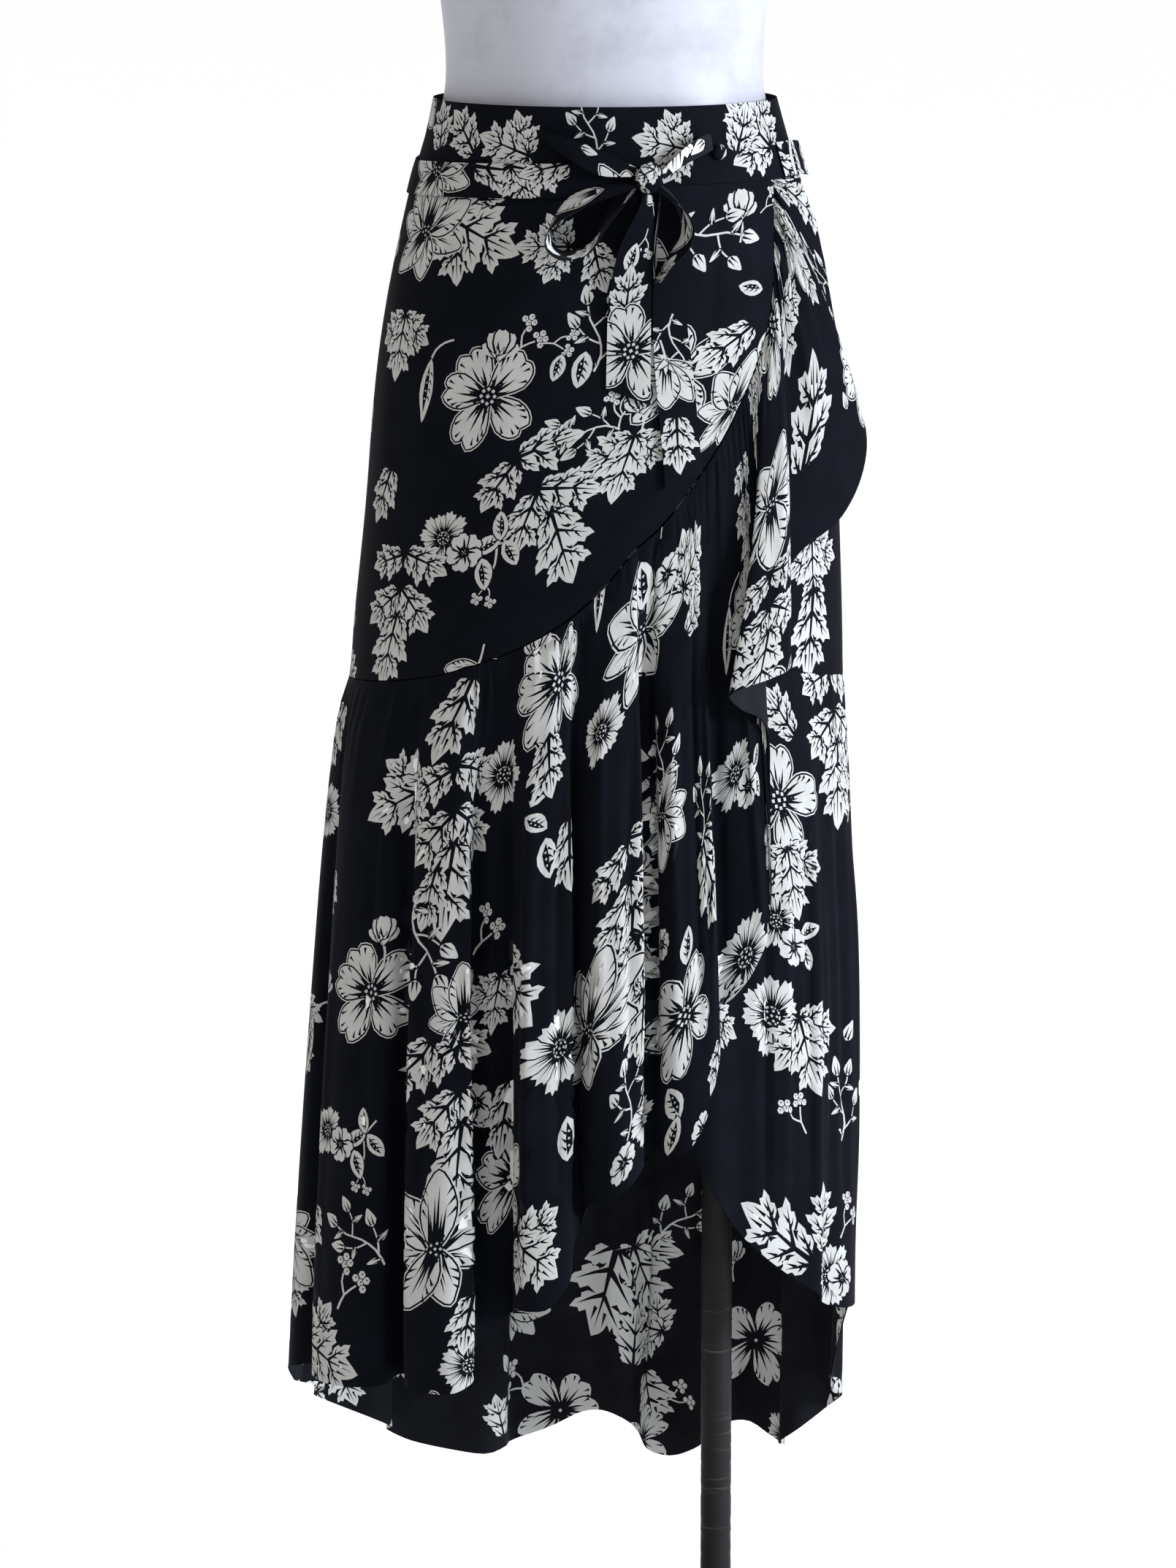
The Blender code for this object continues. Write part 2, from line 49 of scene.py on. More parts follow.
# ---------------------------------------------------------------- the print's motifs, mm
BLACK, WHITE, RIM = 0, 1, 3  # a rim is white too
FULL, PLAIN, BOLD = 0, 1, 2  # a motif with every line, with the main lines, and as white shapes only
FINE = 6  # square mm: a plain motif leaves out what is smaller
PEN = 1.7  # how heavy the pen lines are drawn


def between(p, q, r, w, t):
    """A value from q to r on the smooth line through four values."""
    return 0.5 * (2 * q + (r - p) * t + (2 * p - 5 * q + 4 * r - w) * t * t + (3 * q - p - 3 * r + w) * t**3)


def curve(points, closed=True, steps=2):
    """A smooth line through the points."""
    n = len(points)
    line = []
    for i in range(n if closed else n - 1):
        near = range(i - 1, i + 3)
        a, b, c, d = (points[k % n] if closed else points[min(max(k, 0), n - 1)] for k in near)
        for s in range(steps):
            line.append(tuple(between(*four, s / steps) for four in zip(a, b, c, d)))
    if not closed:
        line.append(points[-1])
    return line


def spread(line):
    """The area inside an outline, above 0 where it runs anticlockwise."""
    return sum(a[0] * b[1] - b[0] * a[1] for a, b in zip(line, line[1:] + line[:1])) / 2


def swollen(outline, by):
    """The outline moved outward by a distance."""
    side = math.copysign(by, spread(outline))
    moved = []
    for i, (x, y) in enumerate(outline):
        px, py = outline[i - 1]
        nx, ny = outline[(i + 1) % len(outline)]
        dx, dy = nx - px, ny - py
        long = math.hypot(dx, dy) or 1
        moved.append((x + side * dy / long, y - side * dx / long))
    return moved


def dot(x, y, radius, sides=5):
    turns = [2 * math.pi * k / sides for k in range(sides)]
    return [(x + radius * math.cos(turn), y + radius * math.sin(turn)) for turn in turns]


def stroke(path, thick, thin=0.0):
    """A line drawn with a pen that lifts from thick to thin, or to a point."""
    left, right = [], []
    thick *= 1 if thin else PEN
    last = len(path) - 1
    for i, (x, y) in enumerate(path):
        if i == last and not thin:
            left.append((x, y))
            break
        a, b = path[max(i - 1, 0)], path[min(i + 1, last)]
        dx, dy = b[0] - a[0], b[1] - a[1]
        long = math.hypot(dx, dy) or 1
        half = (thick + (thin - thick) * i / last) / 2
        left.append((x - dy / long * half, y + dx / long * half))
        right.append((x + dy / long * half, y - dx / long * half))
    return left + right[::-1]


def pen(thick, *path):
    """A black pen line."""
    return BLACK, stroke(path, thick)


def placed(shapes, x=0.0, y=0.0, turn=0.0, size=1.0):
    """The shapes turned clockwise by so many degrees, scaled and moved."""
    c, s = size * math.cos(math.radians(turn)), size * math.sin(math.radians(turn))
    return [(ink, [(x + a * c + b * s, y + b * c - a * s) for a, b in line]) for ink, line in shapes]


def whorl(draw, rows, *more):
    """Petals or leaves that turn about one point, one over another. A row: turn, then the sizes."""
    return [shape for turn, *sizes in rows for shape in placed(draw(*sizes, *more), turn=turn)]


def cut_out(outline, gap=1.1, rim=0.0):
    """A white shape with a black line round it and, past that, a thin white rim."""
    shapes = [(BLACK, swollen(outline, gap)), (WHITE, outline)]
    return [(RIM, swollen(outline, gap + rim)), *shapes] if rim else shapes


def scaled(points, half, long):
    return [(x * half, y * long) for x, y in points]


def petal(long, wide, dip, lines, steps=2):
    """A round petal that points up, with pen lines from its foot and hatching at its edge."""
    half = wide / 2
    outline = [
        (0.10, 0), (0.58, 0.30), (0.98, 0.62), (0.80, 0.90), (0.34, 1), (0.02, 1 - dip),
        (-0.46, 1.01), (-0.86, 0.84), (-0.92, 0.56), (-0.52, 0.26), (-0.10, 0),
    ]
    hatched = lines > 3
    shapes = cut_out(curve(scaled(outline, half, long), steps=steps), 1.3, 0.9 if hatched else 0)
    for k in range(lines):
        side = (k + 0.5) / lines * 2 - 1
        reach = (0.62, 0.40, 0.74, 0.48)[k % 4]
        path = [(side * 0.22, 0.12), (side * 0.62, 0.7 * reach), (side * 0.78, reach)]
        shapes.append(pen(1.7, *scaled(path, half, long)))
    if hatched:
        hatching = [(0.90, -0.62), (0.78, -0.84), (0.66, -0.90), (0.94, 0.10), (0.93, 0.50), (0.74, 0.90)]
        for y, side in hatching:
            shapes.append(pen(1.3, *scaled([(side, y), (side * 0.70, y - 0.15)], half, long)))
    return shapes


def pointed_petal(long, wide, lean, lines):
    """A pointed petal with long pen lines, that leans to one side at its tip."""
    half = wide / 2

    def bent(rows):
        """Rows: how far across, how much of the lean, how far up."""
        return [(x * half + lean * share, y * long) for x, share, y in rows]

    outline = [
        (0.12, 0, 0), (0.80, 0, 0.26), (0.96, 0.3, 0.56), (0.50, 0.75, 0.86), (0, 1, 1),
        (-0.44, 0.7, 0.86), (-0.98, 0.3, 0.56), (-0.80, 0, 0.26), (-0.12, 0, 0),
    ]
    shapes = cut_out(curve(bent(outline)), 1.2, 0.9)
    for k in range(lines):
        side = (k + 0.5) / lines * 2 - 1
        reach = (0.84 - 0.26 * side * side) * (1, 0.60, 0.82)[k % 3]
        shapes.append(pen(1.8, *bent([(side * 0.34, 0, 0.08), (side * 0.60, reach * reach, reach)])))
    for side in (-1, 1):
        for far in (0.50, 0.64, 0.78):
            edge = side * (1.08 - 0.5 * far**3) * 0.92
            shapes.append(pen(1.2, *bent([(edge, 0.5, far), (side * 0.46, 0.4, far - 0.12)])))
    return shapes


def heart(radius, seeds):
    """A flower's dark middle with pale seeds and threads round it."""
    shapes = [(BLACK, dot(0, 0, radius, 8))]
    threads = seeds + 3
    for k in range(threads):
        a = 2 * math.pi * (k + 0.3) / threads
        far = radius * (1.7 if k % 2 else 1.4)
        x, y = math.cos(a), math.sin(a)
        shapes.append((BLACK, stroke([(radius * 0.8 * x, radius * 0.8 * y), (far * x, far * y)], 1.2, 0.8)))
        shapes.append((BLACK, dot(far * x, far * y, 1.4, 4)))
    for k in range(seeds):
        a = 2 * math.pi * k / seeds
        shapes.append((WHITE, dot(radius * 0.66 * math.cos(a), radius * 0.66 * math.sin(a), radius * 0.2, 4)))
    return [*shapes, (WHITE, dot(0, 0, radius * 0.22, 4))]


def stem(path, wide=1.6):
    return [(WHITE, stroke(curve(path, False), wide * 1.2, wide * 0.9))]


def open_flower():
    petals = [
        (128, 39, 27, 0.06), (206, 41, 28, 0.10), (-34, 37, 29, 0.08), (44, 39, 28, 0.05), (276, 37, 26, 0.09)
    ]
    return whorl(petal, petals, 6) + heart(8.2, 8)


def pointed_flower():
    petals = [
        (-96, 36, 20, 3), (96, 40, 21, -3), (-52, 44, 24, 4), (52, 46, 24, -5), (165, 36, 22, -3),
        (202, 42, 22, 4), (-4, 48, 27, 2),
    ]
    return whorl(pointed_petal, petals, 6) + heart(5.4, 5)


def side_flower():
    """A flower from its side: a cup of pointed petals."""
    petals = [(-62, 32, 17, -5), (62, 32, 17, 5), (-32, 40, 21, -3), (32, 40, 21, 3), (0, 43, 26, 1)]
    shapes = stem([(0, 2), (1, -8), (5, -20)], 2.0) + whorl(pointed_petal, petals, 5)
    for turn in (-44, 0, 44):
        shapes += placed(cut_out([(-2.6, -1), (2.6, -1), (1.6, 7), (0, 12), (-1.6, 7)]), turn=turn)
    return shapes


def daisy():
    shapes = []
    petals = 11
    for k in range(petals):
        long = 20.5 + 2.4 * math.sin(k * 2.4)
        outline = [
            (0.6, 3), (4.6, 14), (3.9, long - 0.6), (1.3, long - 1.6), (-0.8, long + 1.1),
            (-2.2, long - 1.6), (-4.4, long - 0.8), (-4.6, 14), (-0.6, 3),
        ]
        lines = [pen(0.9, (x * 0.4, 5), (x, 14 + (0 if x else 3.5))) for x in (-1.8, 0, 1.9)]
        shapes += placed(cut_out(outline, 0.7) + lines, turn=360 / petals * k)
    return shapes + heart(4.2, 5)


def blossom():
    petals = [(72 * k + 10, 15, 15.5) for k in range(5)]
    return whorl(petal, petals, 0.09, 3, 1) + placed(heart(2.9, 4), size=0.8)


def cup():
    """A small half-open blossom with its sepals."""
    petals = [(-48, 15, 10), (48, 15, 10), (-22, 18, 11), (22, 18, 11), (0, 18.5, 11)]
    shapes = stem([(0, 0), (1.5, -7), (0.5, -16)], 1.5) + whorl(petal, petals, 0.04, 2, 1)
    for turn in (-58, -20, 20, 58):
        shapes += placed(cut_out([(-1.7, -0.6), (1.7, -0.6), (0, 7.6)]), turn=turn)
    return shapes


# One lobe of a leaf, as shares of the lobe: out from the rib, and up. Then its veins.
LOBE = [
    (0.38, 0), (0.74, 0.08), (0.94, 0.30), (0.88, 0.46), (1.06, 0.62), (1.16, 0.98), (0.84, 0.92),
    (0.72, 1.06), (0.52, 0.84),
]
LOBE_VEINS = [
    (1.6, [(0.46, -0.04), (0.32, -0.14), (0.20, -0.34)]),
    (1.5, [(0, -0.22), (0.48, 0.26), (0.98, 0.80)]),
    (1.0, [(0.40, 0.22), (0.60, 0.20), (0.78, 0.26)]),
    (1.0, [(0.56, 0.38), (0.62, 0.62), (0.70, 0.84)]),
    (0.9, [(0.28, 0.10), (0.34, 0.50)]),
]


def leaf(long, wide, bend):
    """A broad, lobed leaf that points up, with a branching vein to each lobe."""
    half = wide / 2

    def rib(y):
        return bend * math.sin(0.5 * math.pi * y / long)

    edges, veins = [], []
    for side in (1, -0.94):
        edge = []
        for low, high, reach in [(0.02, 0.29, 0.86), (0.29, 0.57, 1.20), (0.57, 0.81, 0.92)]:
            low, high, reach = (low - 0.02 * (side < 0)) * long, high * long, side * reach * half
            tall, at = high - low, rib(low)

            def on_lobe(points):
                return [(at + reach * out, low + tall * up) for out, up in points]

            edge += on_lobe(LOBE)
            veins += [pen(thick, *on_lobe(path)) for thick, path in LOBE_VEINS]
        edges.append(edge)
    tip = [(rib(long) + x * half, y * long) for x, y in [(0.34, 0.86), (0.22, 0.93), (0, 1), (-0.24, 0.90)]]
    shapes = cut_out([(0.0, -1.5), *edges[0], *tip, *edges[1][::-1]])
    shapes.append(pen(1.7, (0, -1), (rib(0.5 * long), 0.5 * long), (rib(0.94 * long), 0.94 * long)))
    foot, head = 0.68 * long, 0.86 * long
    for x in (-0.2, 0.22):
        veins.append(pen(1.1, (rib(foot) + x * half, foot), (rib(head) + 1.1 * x * half, head)))
    return shapes + veins


def leaf_chain():
    """A hanging chain of toothed leaves."""
    shapes = []
    for x, y, turn, long, wide, bend in [
        (-2, 2, -124, 38, 23, 5),
        (3, 4, 112, 44, 26, -6),
        (2, -26, -142, 44, 27, 5),
        (5, -24, 136, 46, 28, -6),
        (5, -46, 178, 58, 34, 5),
    ]:
        shapes += placed(leaf(long, wide, bend), x, y, turn)
    return [*shapes, pen(2.0, (-4, 12), (2, -12), (5, -56))]


def leaf_fan():
    """Three broad leaves from one point."""
    return whorl(leaf, [(-64, 42, 26, 5), (66, 44, 27, -5), (4, 56, 34, 3)])


def oval(long=23.0, wide=13.0):
    """An oval leaf with a dark, dotted strip along its middle."""
    half = wide / 2
    outline = [(0.9, 0.33), (0.8, 0.70), (-0.85, 0.66), (-0.88, 0.30)]
    strip = [(0.48, 0.36), (0.42, 0.64), (-0.12, 0.5)]
    a, b, c, d = scaled(outline, half, long)
    shapes = cut_out(curve([(0, 0), a, b, (0.3, long), c, d]))
    a, b, c = scaled(strip, half, long)
    shapes.append((BLACK, [(0.2, long * 0.12), a, b, (0.3, long * 0.88), c]))
    shapes += [(WHITE, dot(half * 0.18, long * y, 0.75, 4)) for y in (0.34, 0.50, 0.66)]
    veins = [pen(0.9, (-0.6, long * y), (-half * 0.62, long * (y + 0.14))) for y in (0.26, 0.44, 0.62)]
    return shapes + veins


def capsule():
    """A long seed pod on a bent stem."""
    outline = [(0, 0), (5.6, 13), (6.6, 27), (2.8, 40), (0, 48), (-3.6, 38), (-6, 24), (-4, 10)]
    shapes = stem([(0, 0), (-3, -7), (-10, -13), (-18, -16)]) + cut_out(curve(outline))
    shapes.append((BLACK, [(0.4, 5), (2.6, 16), (2.8, 28), (0.4, 41), (-1.4, 28), (-1.0, 15)]))
    shapes += [(WHITE, dot(0.7, y, 0.85, 4)) for y in (12, 18, 24, 30)]
    return shapes + [pen(1.0, (-2.0, y), (-4.6, y + 4)) for y in (10, 16, 22, 28)]


def bud(long=14.0, wide=9.0):
    outline = [(0, 0), (1, 0.32), (0.5, 0.78), (0, 1), (-0.6, 0.72), (-1, 0.30)]
    lines = [pen(1.0, (x, 0.08 * long), (x * 1.5, 0.66 * long)) for x in (-1.3, 1.1)]
    return cut_out(curve(scaled(outline, wide / 2, long))) + lines


def spray():
    """A branching stem with buds and narrow leaves."""
    shapes = stem([(0, 0), (6, 14), (4, 30), (-4, 46), (-6, 60)])
    twigs = [[(5, 10), (14, 18), (20, 28)], [(5, 24), (-6, 30), (-14, 40)], [(0, 40), (10, 48), (13, 56)]]
    for path in twigs:
        shapes += stem(path, 1.3)
    for x, y, turn, size in [(20, 28, 30, 1.2), (-14, 40, -34, 1.2), (13, 56, 20, 1.1), (-6, 59, -8, 1.3)]:
        shapes += placed(bud(), x, y, turn, size)
    for x, y, turn in [(2, 6, -60), (13, 17, 96), (-5, 31, -110), (-5, 50, -70), (9, 47, 110)]:
        shapes += placed(bud(13, 5), x, y, turn)
    return shapes


def berries():
    shapes = stem([(0, 0), (5, 9), (14, 15)], 1.3) + stem([(5, 9), (3, 17), (5, 24)], 1.2)
    for cx, cy in [(17, 17), (5, 27)]:
        for x, y in [(0, 0), (4.2, 1.2), (-3.6, 2.6), (1.2, 4.8), (1.6, -4.0)]:
            shapes += cut_out(dot(cx + x, cy + y, 2.5, 6), 0.6)
            shapes.append((BLACK, dot(cx + x + 0.4, cy + y + 0.3, 0.9, 3)))
    return shapes


def daisy_spray():
    """A daisy and a blossom, with dotted leaves and a berry bud on one stem."""
    shapes = stem([(6, -4), (24, -8), (38, 2), (52, 16)]) + stem([(38, 0), (40, -14), (37, -26)])
    shapes += placed(berries(), 36, -22, 150, 0.8)
    leaves = [(25, 14, 20, -6, 58), (26, 15, 28, -10, 160), (24, 14, 43, 4, 140), (23, 13, 40, 4, -12)]
    for long, wide, x, y, turn in leaves:
        shapes += placed(oval(long, wide), x, y, turn)
    return shapes + placed(daisy(), -8, 4, 12) + placed(blossom(), 12, -6, 30)


def leafy_blossom():
    """A half-open blossom above a fan of leaves."""
    return placed(leaf_fan(), 0, -4, 176) + placed(berries(), -14, 4, -30) + placed(cup(), 2, 18, -8, 1.15)


# Each drawing and how far it reaches from its own middle
DRAWINGS = {
    "open_flower": (open_flower(), 42),
    "pointed_flower": (pointed_flower(), 54),
    "side_flower": (side_flower(), 48),
    "daisy": (daisy(), 26),
    "daisy_spray": (daisy_spray(), 72),
    "blossom": (blossom(), 18),
    "cup": (cup(), 22),
    "leaf": (leaf(42, 25, 4), 46),
    "leaf_chain": (leaf_chain(), 112),
    "leaf_fan": (leaf_fan(), 58),
    "leafy_blossom": (leafy_blossom(), 66),
    "oval": (oval(), 26),
    "capsule": (capsule(), 52),
    "spray": (spray(), 78),
    "berries": (berries(), 36),
    "bud": (bud(), 16),
    "petal": (pointed_petal(40, 22, 3, 4), 44),
}


# ---------------------------------------------------------------- the skirt's shape, mm
GAP = 0.3  # space between pieces that meet
SIDE_GAP = 0.1  # degrees that each piece stops short of a side seam
WAIST_TOP = 1268.0
YOKE_SEAM = 1211.0
PANEL_TOP = YOKE_SEAM - GAP / 2
WALL = 1.5  # the solid waistband's wall
BELT_HEIGHT = 25.0
BELT_NARROWS = (352, 367)  # angles between which the belt is pinched, toward the knot
BELT_PINCH = 0.62  # by this share of its height
POLE_X = 88.0
POLE_RADIUS = 12.0
POLE_FOOT = 16.3
POLE_TOPS = (1000, 1003.7)  # its last ring ends between these
UNDER_OUT = -6.0  # the under wrap's panel hangs this far inside the outer one
UNDER_RISE = (60, 86)  # angles between which it comes out to the side seam
ROW_CROWD = 1.15  # rows stand closer together near the seam
FAN_LATE = 1.1  # the columns spread sideways a little later than they fall
FOLD_EARLY = 0.62  # the folds stand out early, below 1, on their way down
OUTER_CORNER = 24  # angle where the seam turns from hem line to wrap edge
EDGE_SETBACK = 0.35  # degrees that the panel stops short of the wrap edge's seam
FRONT_ANGLES = (-90 + SIDE_GAP, 90 - SIDE_GAP)
BACK_ANGLES = (90 + SIDE_GAP, 270 - SIDE_GAP)
UNDER_ANGLES = (-8, 90 - SIDE_GAP)  # the under wrap is cut off behind the outer one

# The outer cloth round the body. z, half-width at -X and +X, half-depth in front and behind.
BODY_RINGS = [
    (1268, 128, 129, 98, 102),
    (1236, 135, 138, 103, 109),
    (1211, 143, 146, 108, 116),
    (1160, 155, 160, 117, 127),
    (1121, 163, 167, 123, 134),
    (1077, 170, 172, 128, 139),
    (1032, 175, 175, 132, 142),
    (959, 181, 178, 138, 145),
    (875, 190, 181, 145, 149),
    (830, 194, 182, 149, 152),
    (797, 202, 184, 153, 155),
    (725, 211, 188, 159, 160),
    (600, 221, 193, 165, 167),
    (440, 232, 193, 168, 172),
    (320, 239, 192, 170, 176),
    (150, 247, 190, 172, 180),
]

# The dress form. z, half-width, half-depth in front and behind.
FORM_RINGS = [
    (1004, 146, 98, 112),
    (1016, 152, 103, 118),
    (1060, 159, 112, 131),
    (1110, 158.5, 111, 131.5),
    (1160, 153.7, 107, 125.6),
    (1205, 140, 99, 112),
    (1240, 129, 92, 99),
    (1272, 120, 87, 89),
    (1300, 119, 87, 87),
    (1335, 122, 92, 88),
    (1375, 128, 102, 92),
    (1420, 137, 115, 96),
    (1455, 145, 119, 99),
    (1490, 152, 112, 101),
    (1525, 163, 100, 101),
    (1560, 172, 86, 97),
    (1588, 165, 72, 88),
    (1608, 128, 60, 75),
    (1622, 84, 52, 62),
    (1636, 58, 48, 54),
    (1660, 52, 47, 50),
    (1700, 50, 46, 48),
]

# The outer wrap's lower seam, from the -X side seam across the front and up to the waistband.
OUTER_SEAM = [
    (-90, 827),
    (-60, 836),
    (-43, 845),
    (-31, 856),
    (-19, 872),
    (-8, 894),
    (1, 921),
    (7, 944),
    (14, 963),
    (24, 1000),
    (32.5, 1036),
    (46, 1107),
    (53, 1170),
    (58, 1204),
    (59, 1211),
]
UNDER_SEAM = [(-8, 915), (0, 905), (30, 866), (60, 842), (90, 829)]
BACK_SEAM = [(90, 829), (135, 820), (180, 815), (225, 819), (270, 827)]

# Flounce folds. Each row: angle on the seam, then the hem point's angle, how far out it stands, z.
FRONT_FOLDS = [
    (-90, -90, 0, 268),
    (-86, -84, 6, 284),
    (-81, -77, 4, 292),
    (-76, -71, -9, 297),
    (-70, -64, 9, 297),
    (-63, -57, 16, 297),
    (-57, -51, 16, 299),
    (-51, -44.5, 11, 302),
    (-47, -42.2, -9, 308),
    (-44, -39.5, -8, 308),
    (-41, -36.8, 10, 306),
    (-37, -32, 17, 306),
    (-33, -27.2, 16, 307),
    (-30, -24.6, 5, 314),
    (-28, -25.2, -11, 330),
    (-25, -22.5, -23, 350),
    (-21, -18.3, -20, 364),
    (-19, -16.6, -3, 372),
    (-16, -13.5, 12, 374),
    (-12, -9.5, 13, 378),
    (-8.5, -6.2, 5, 398),
    (-7, -6.0, -10, 418),
    (-5, -4.2, -13, 440),
    (-3, -2.6, 2, 455),
    (0, 1.0, 13, 461),
    (4, 5.2, 14, 472),
    (7, 8.4, 4, 484),
    (8.6, 9.0, -10, 489),
    (11, 11.6, -12, 492),
    (13, 13.6, 2, 492),
    (16, 17.0, 12, 494),
    (20, 21.6, 14, 520),
    (23, 25.0, 11, 568),
    (25, 26.0, 1, 598),
    (27.5, 29.4, 0, 606),
    (30.5, 33.9, 8, 628),
    (33.5, 37.6, 12, 662),
    (35.5, 37.9, 14, 712),
    (37.2, 38.3, 14, 765),
    (38.8, 37.4, 16, 812),
    (40.3, 30.0, 22, 828),
    (41.8, 26.5, 28, 840),
    (43.5, 30.5, 34, 847),
    (45.6, 36.0, 35, 852),
    (47.6, 41.5, 30, 858),
    (49.0, 42.0, 20, 876),
    (50.2, 43.0, 10, 900),
    (51.4, 47.0, 9, 926),
    (52.6, 52.0, 13, 942),
    (53.8, 56.5, 17, 949),
    (54.8, 63.0, 23, 962),
    (55.7, 70.5, 28, 988),
    (56.4, 74.5, 29, 1016),
    (57.0, 73.5, 24, 1048),
    (57.5, 71.0, 16, 1084),
    (57.9, 71.0, 12, 1120),
    (58.3, 73.0, 9, 1156),
    (58.7, 76.0, 6, 1184),
    (59.0, 78.0, 3.0, 1209.6),
]
UNDER_FOLDS = [
    (-8, -8, -20, 560),
    (0, 1, -26, 550),
    (10, 11, -21, 532),
    (20, 21, -27, 494),
    (27, 28.5, -21, 452),
    (35, 36.5, -25, 420),
    (43, 44.5, -17, 396),
    (51, 53, -13, 377),
    (58, 60, -2, 361),
    (64, 65.5, -8, 350),
    (71, 72, 2, 342),
    (81, 82, 4, 337),
    (90, 90, 0, 335),
]
BACK_FOLDS = [
    (90, 90, 0, 335),
    (94, 95, -5, 305),
    (99, 101, -9, 262),
    (104, 106, -3, 244),
    (109, 111, 12, 236),
    (116, 118, 13, 220),
    (121, 122, -8, 200),
    (127, 128, -12, 186),
    (132, 133, 9, 176),
    (138, 139, 16, 178),
    (144, 144, 10, 188),
    (147, 147, -10, 190),
    (152, 152, -14, 178),
    (156, 157, 8, 160),
    (163, 164, 18, 147),
    (169, 169.5, 13, 152),
    (172, 171.5, -8, 176),
    (177, 177, -14, 190),
    (182, 183, 6, 187),
    (189, 190, 17, 170),
    (196, 197, 13, 162),
    (199, 199.5, -9, 164),
    (204, 204, -15, 161),
    (209, 210, 5, 162),
    (216, 217, 16, 170),
    (223, 223, 12, 184),
    (226, 226, -9, 194),
    (232, 231, -12, 204),
    (237, 237, 8, 216),
    (244, 244, 14, 230),
    (249, 249, -6, 242),
    (255, 254, -8, 250),
    (260, 260, 4, 258),
    (266, 265, -4, 264),
    (270, 270, 0, 268),
]

# The tie belt: angle, height of its middle and how far it stands off the waistband's middle.
BELT_LINE = [
    (66, 1225, 1.8),
    (78, 1225, 5.5),
    (92, 1222, 7.0),
    (108, 1220, 3.5),
    (130, 1219, 1.8),
    (200, 1216, 1.8),
    (250, 1211, 1.8),
    (272, 1209.5, 1.8),
    (300, 1211.5, 1.8),
    (330, 1213.5, 1.8),
    (350, 1215, 2.0),
    (361, 1217, 2.8),
    (367.5, 1219, 4.4),
]

# The bow, drawn on the front. x, z and out of one edge of the tie, then of the other edge.
# Where x or z is None, the tie meets the knot there.
KNOT = {"x": 30.0, "z": 1218.0, "out": 11.0, "half": (10.0, 7.0, 12.0)}
KNOT_CLEAR = 1.08  # ties end this far out, counted in half sizes of the knot
LOOP_LEFT_TOP = [
    (None, 1225.5, 10.5, None, 1218.5, 12.5),
    (-6, 1239, 12, -4, 1220, 14),
    (-28, 1247, 11, -24, 1231, 12),
    (-46, 1251.5, 7.6, -45, 1246, 8),
    (-47, 1250.5, 4.6, -46, 1246, 4.6),
    (-29, 1245, 2.2, -25, 1233, 2.6),
    (-7, 1237, 3.2, -5, 1230, 4.6),
    (None, 1225.5, 7.4, None, 1219.5, 7.6),
]
LOOP_LEFT_LOW = [
    (None, 1214.0, 9.5, None, 1211, 13),
    (-2, 1212, 6.5, -2, 1203, 20),
    (-24, 1204, 4.0, -22, 1193, 25),
    (-37, 1188, 1.2, -36, 1181, 26),
    (-40, 1173, 1.2, -38, 1168, 26),
    (-31, 1164, 1.2, -28, 1160, 24),
    (-12, 1169, 1.4, -11, 1164, 21),
    (3, 1187, 3.5, 2, 1184, 17),
    (None, 1211.5, 7.5, None, 1209.5, 10.5),
]
LOOP_RIGHT_TOP = [
    (None, 1223, 10.5, None, 1216.5, 12.0),
    (56, 1240, 13, 55, 1227, 14),
    (69, 1248, 12, 71, 1235, 12.5),
    (74.5, 1246, 8, 76, 1237, 8),
    (71, 1245, 2.4, 72, 1234, 2.4),
    (57, 1237, 2.4, 56, 1225, 2.6),
    (None, 1222, 7.4, None, 1216, 7.6),
]
LOOP_RIGHT_LOW = [
    (None, 1212.6, 9, None, 1210.6, 13),
    (48, 1205, 6, 49, 1200, 20),
    (56, 1191, 3.2, 58, 1185, 24),
    (55, 1174, 2.9, 56, 1168, 24),
    (46, 1160, 2.9, 45, 1154, 20),
    (38.5, 1146, 2.9, 37.5, 1141, 14),
    (35.5, 1150, 2.9, 35, 1150, 12),
    (36, 1170, 3.4, 35.5, 1170, 12),
    (38.5, 1192, 6, 38, 1194, 12),
    (None, 1210.4, 9.5, None, 1209.2, 12.5),
]
TAIL_FRONT = [
    (26.5, None, 11.0, 32.5, None, 11.0),
    (23, 1194, 11, 34.5, 1194, 9.5),
    (10, 1166, 9, 33.5, 1166, 9),
    (3, 1130, 5.5, 33, 1130, 7.5),
    (1.5, 1090, 2.6, 33, 1090, 5.5),
    (1.0, 1064, 1.8, 33, 1052, 4),
]
TAIL_BACK = [
    (33.5, 1205.2, 7.5, 38.5, 1206.8, 7.0),
    (37, 1194, 3.2, 52, 1194, 2.8),
    (36, 1160, 1.8, 60, 1160, 1.8),
    (35, 1113, 1.8, 60, 1113, 1.8),
    (37, 1070, 2.4, 65, 1070, 1.8),
    (41, 1026, 3.6, 69, 1026, 2.2),
    (44, 990, 4.2, 71, 1001, 3.4),
]
BUTTON = {"x": 83.0, "z": 1234.0, "radius": 5.6, "dome": 2.4}


